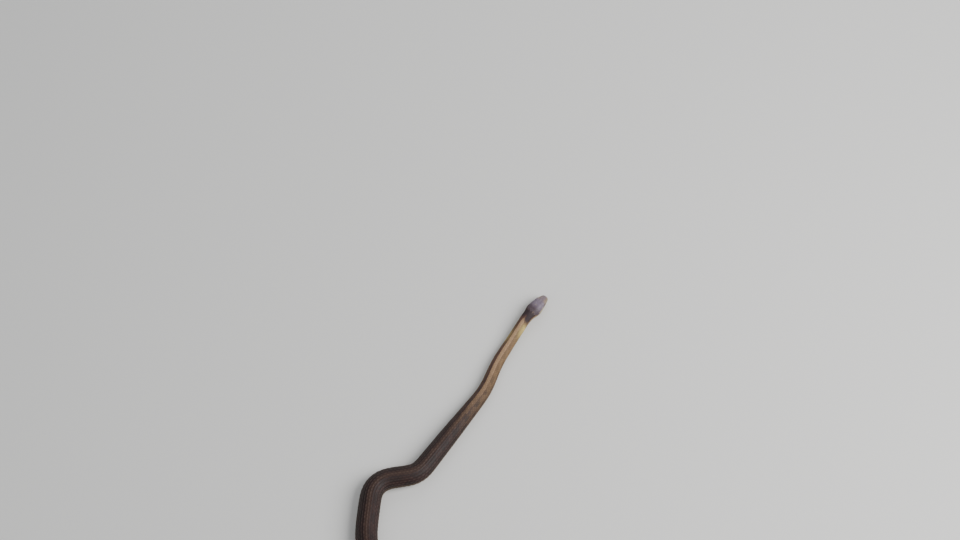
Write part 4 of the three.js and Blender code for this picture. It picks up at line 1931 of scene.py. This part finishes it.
@dataclass(frozen=True)
class ScaleFinish(HornFinish):
    """Satin horn with the markings, darker round each scale and worn along its keel."""

    edge_darkness: float = 0.62
    belly_edge: float = 0.55
    edge_tone: Colour = (0.42, 0.38, 0.36)
    keel_wear: float = 0.24
    worn: Colour = (0.30, 0.23, 0.15)

    def build(self) -> bpy.types.Material:
        """Make the finish of the body's scales.

        Returns:
            The material.
        """
        material, make, shader = new_finish("scale_horn")
        marks, marked = make.marks(), self.marked(make)
        edge = make.times(marks["edge"], self.edge_darkness)
        edge = make.times(edge, make.minus(1.0, make.times(marks["belly"], self.belly_edge)))
        colour = make.mix(edge, marked, make.mix(1.0, marked, self.edge_tone, "MULTIPLY"))
        colour = make.mix(make.times(marks["keel"], self.keel_wear), colour, self.worn)
        self.dress(make, shader, colour, marks["tint"])
        return material


@dataclass(frozen=True)
class ShieldFinish(HornFinish):
    """The head's smooth shields, with dark seams, and the dark skin that the scales hide."""

    gloss: float = 0.36
    mottling: float = 0.45
    bump: float = 0.2
    bump_depth: float = 0.00003
    under_skin: Colour = (0.020, 0.013, 0.011)
    seam: Colour = (0.012, 0.009, 0.009)
    seam_strength: float = 0.85
    dot_strength: float = 0.75

    def build(self) -> bpy.types.Material:
        """Make the finish of the skin and the head.

        Returns:
            The material.
        """
        material, make, shader = new_finish("head_shields")
        marks, marked = make.marks(), self.marked(make)
        hidden = make.times(marks["edge"], make.minus(1.0, marks["belly"]))
        colour = make.mix(hidden, marked, self.under_skin)
        colour = make.mix(make.times(marks["dots"], self.dot_strength), colour, self.effects.palette.lip)
        colour = make.mix(make.times(marks["seam"], self.seam_strength), colour, self.seam)
        # The nostril's pit is painted the seams' near-black: painted shade in its opening.
        colour = make.mix(marks["pit"], colour, self.seam)
        self.dress(make, shader, colour, marks["tint"])
        return material


@dataclass(frozen=True)
class EyeFinish:
    """A black round pupil in a coppery iris with a pale inner ring, under a wet coat.

    Places are shares of the eye's radius.
    """

    pupil: Colour = (0.004, 0.003, 0.003)
    ring: Colour = (0.55, 0.33, 0.12)
    iris: Colour = (0.17, 0.065, 0.025)
    rim: Colour = (0.012, 0.008, 0.007)
    pupil_edge: float = 0.43
    ring_at: float = 0.455
    iris_edges: Pair = (0.52, 0.76)
    rim_at: float = 0.88
    fleck: Noise = Noise(4200.0, 3.0)
    fleck_shift: float = 0.05
    fleck_darkness: float = 0.7
    roughness: float = 0.12
    coat_roughness: float = 0.02

    def build(self) -> bpy.types.Material:
        """Make the finish of the eyes.

        Returns:
            The material.
        """
        material, make, shader = new_finish("eye_gloss")
        stored = make.node("ShaderNodeAttribute", attribute_name="from_pupil").outputs["Fac"]
        fleck = make.noise(self.fleck)
        shifted = make.plus(stored, make.times(make.minus(fleck, 0.5), self.fleck_shift))
        ramp = make.feed(make.node("ShaderNodeValToRGB"), {"Fac": shifted})
        elements, (iris_from, iris_to) = ramp.color_ramp.elements, self.iris_edges
        stops = (
            (0.0, self.pupil), (self.pupil_edge, self.pupil), (self.ring_at, self.ring),
            (iris_from, self.iris), (iris_to, self.iris), (self.rim_at, self.rim),
        )
        while len(elements) < len(stops):
            elements.new(0.5)
        for element, (place, colour) in zip(elements, stops):
            element.position = place
            element.color = (*colour, 1.0)
        streaks = make.times(fleck, self.fleck_darkness)
        make.feed(shader, {
            "Base Color": make.mix(streaks, ramp.outputs["Color"], self.rim),
            "Roughness": self.roughness, "Coat Weight": 1.0, "Coat Roughness": self.coat_roughness,
        })
        return material


@dataclass(frozen=True)
class FloorFinish:
    """A plain, pale and dull floor."""

    colour: Colour = (0.76, 0.75, 0.73)
    roughness: float = 0.85

    def build(self) -> bpy.types.Material:
        """Make the floor's finish.

        Returns:
            The material.
        """
        material, make, shader = new_finish("pale_floor")
        make.feed(shader, {"Base Color": self.colour, "Roughness": self.roughness})
        return material


@dataclass(frozen=True)
class Lamp:
    """A square soft light, turned to the middle of the floor; metres and watts."""

    name: str
    place: tuple[float, float, float]
    power: float
    width: float

    def hang(self) -> None:
        """Hang the lamp."""
        data = bpy.data.lights.new(self.name, "AREA")
        data.energy, data.size = self.power, self.width
        lamp = bpy.data.objects.new(self.name, data)
        lamp.location = self.place
        lamp.rotation_euler = (-Vector(self.place)).to_track_quat("-Z", "Y").to_euler()
        bpy.context.scene.collection.objects.link(lamp)


@dataclass(frozen=True)
class Studio:
    """The floor, the lights and the camera."""

    hide: Hide
    snout_from_aim: Pair = (54.9, -28.5)
    elevation: float = 62.0
    lens: float = 95.0
    sensor: float = 36.0
    sight: float = 20.0
    frame_width: int = 960
    mm_per_pixel: float = 0.84
    floor_size: float = 6.0
    lamps: tuple[Lamp, ...] = (
        Lamp("key", (1.0, -0.1, 1.0), 25.0, 1.0),
        Lamp("fill", (-0.9, -0.5, 1.0), 4.0, 1.4),
        Lamp("back", (0.1, 1.2, 0.8), 3.5, 0.9),
    )
    sky: Colour = (0.9, 0.95, 1.0)
    sky_strength: float = 0.3

    def floor(self) -> Piece:
        """Lay the floor.

        Returns:
            Nothing: the floor is laid and marked as the backdrop, but not given back.
        """
        deselect()
        bpy.ops.mesh.primitive_plane_add(size=self.floor_size, location=(0, 0, 0))
        floor = bpy.context.active_object
        floor.name = floor.data.name = "studio_floor"
        floor.data.materials.append(FloorFinish().build())
        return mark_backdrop(floor)

    def camera(self) -> None:
        """Set the camera where the photograph's was, over the front half of the body."""
        aim_x, aim_y = (
            (snout - off) * MM for snout, off in zip(self.hide.lie.snout, self.snout_from_aim)
        )
        distance = self.lens / self.sensor * self.frame_width * self.mm_per_pixel * MM
        angle = math.radians(self.elevation)
        data = bpy.data.cameras.new("photo_view")
        data.lens, data.sensor_width, data.clip_end = self.lens, self.sensor, self.sight
        camera = bpy.data.objects.new("photo_view", data)
        camera.location = (aim_x, aim_y - distance * math.cos(angle), distance * math.sin(angle))
        camera.rotation_euler = (math.pi / 2 - angle, 0, 0)
        bpy.context.scene.collection.objects.link(camera)
        bpy.context.scene.camera = camera

    def lights(self) -> None:
        """Hang a broad soft key, a fill and a back light, with a little light from all round."""
        for lamp in self.lamps:
            lamp.hang()
        world = bpy.data.worlds.new("studio")
        world.use_nodes = True
        sky = world.node_tree.nodes["Background"]
        Shader(world.node_tree).feed(sky, {"Color": self.sky, "Strength": self.sky_strength})
        bpy.context.scene.world = world


def fit(piece: Piece, finish: bpy.types.Material, nodes: tuple[str, ...] = ()) -> None:
    """Give a piece its finish and its place in the frame.

    Args:
        piece: The piece.
        finish: Its material.
        nodes: The solids that it stands for.
    """
    piece.data.materials.clear()
    piece.data.materials.append(finish)
    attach(piece, BODY)
    if nodes:
        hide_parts(*nodes)
    log.info("%s: %d faces", piece.name, len(piece.data.polygons))


def main() -> None:
    """Build the snake and its setting in order."""
    logging.basicConfig(level=logging.INFO, format="%(name)s %(message)s")
    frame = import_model()
    hide = Hide()
    studio = Studio(hide)
    studio.camera()
    studio.floor()
    studio.lights()
    effects = Effects(Palette())
    rows, marks = ScaleRows(hide), Marks()
    skin = Skin(hide, HeadSeams(hide), rows, marks)
    flesh = tuple(name for name in frame["nodes"] if not name.startswith("eye"))
    fit(skin.build(), ShieldFinish(effects).build(), flesh)
    horn = ScaleFinish(effects).build()
    for piece in Coat(hide, rows, marks, skin).build():
        fit(piece, horn)
    eye_finish = EyeFinish().build()
    for side, node in ((1, "eye_left"), (-1, "eye_right")):
        fit(Eye(hide, side).build(), eye_finish, (node,))


if __name__ == "__main__":
    main()
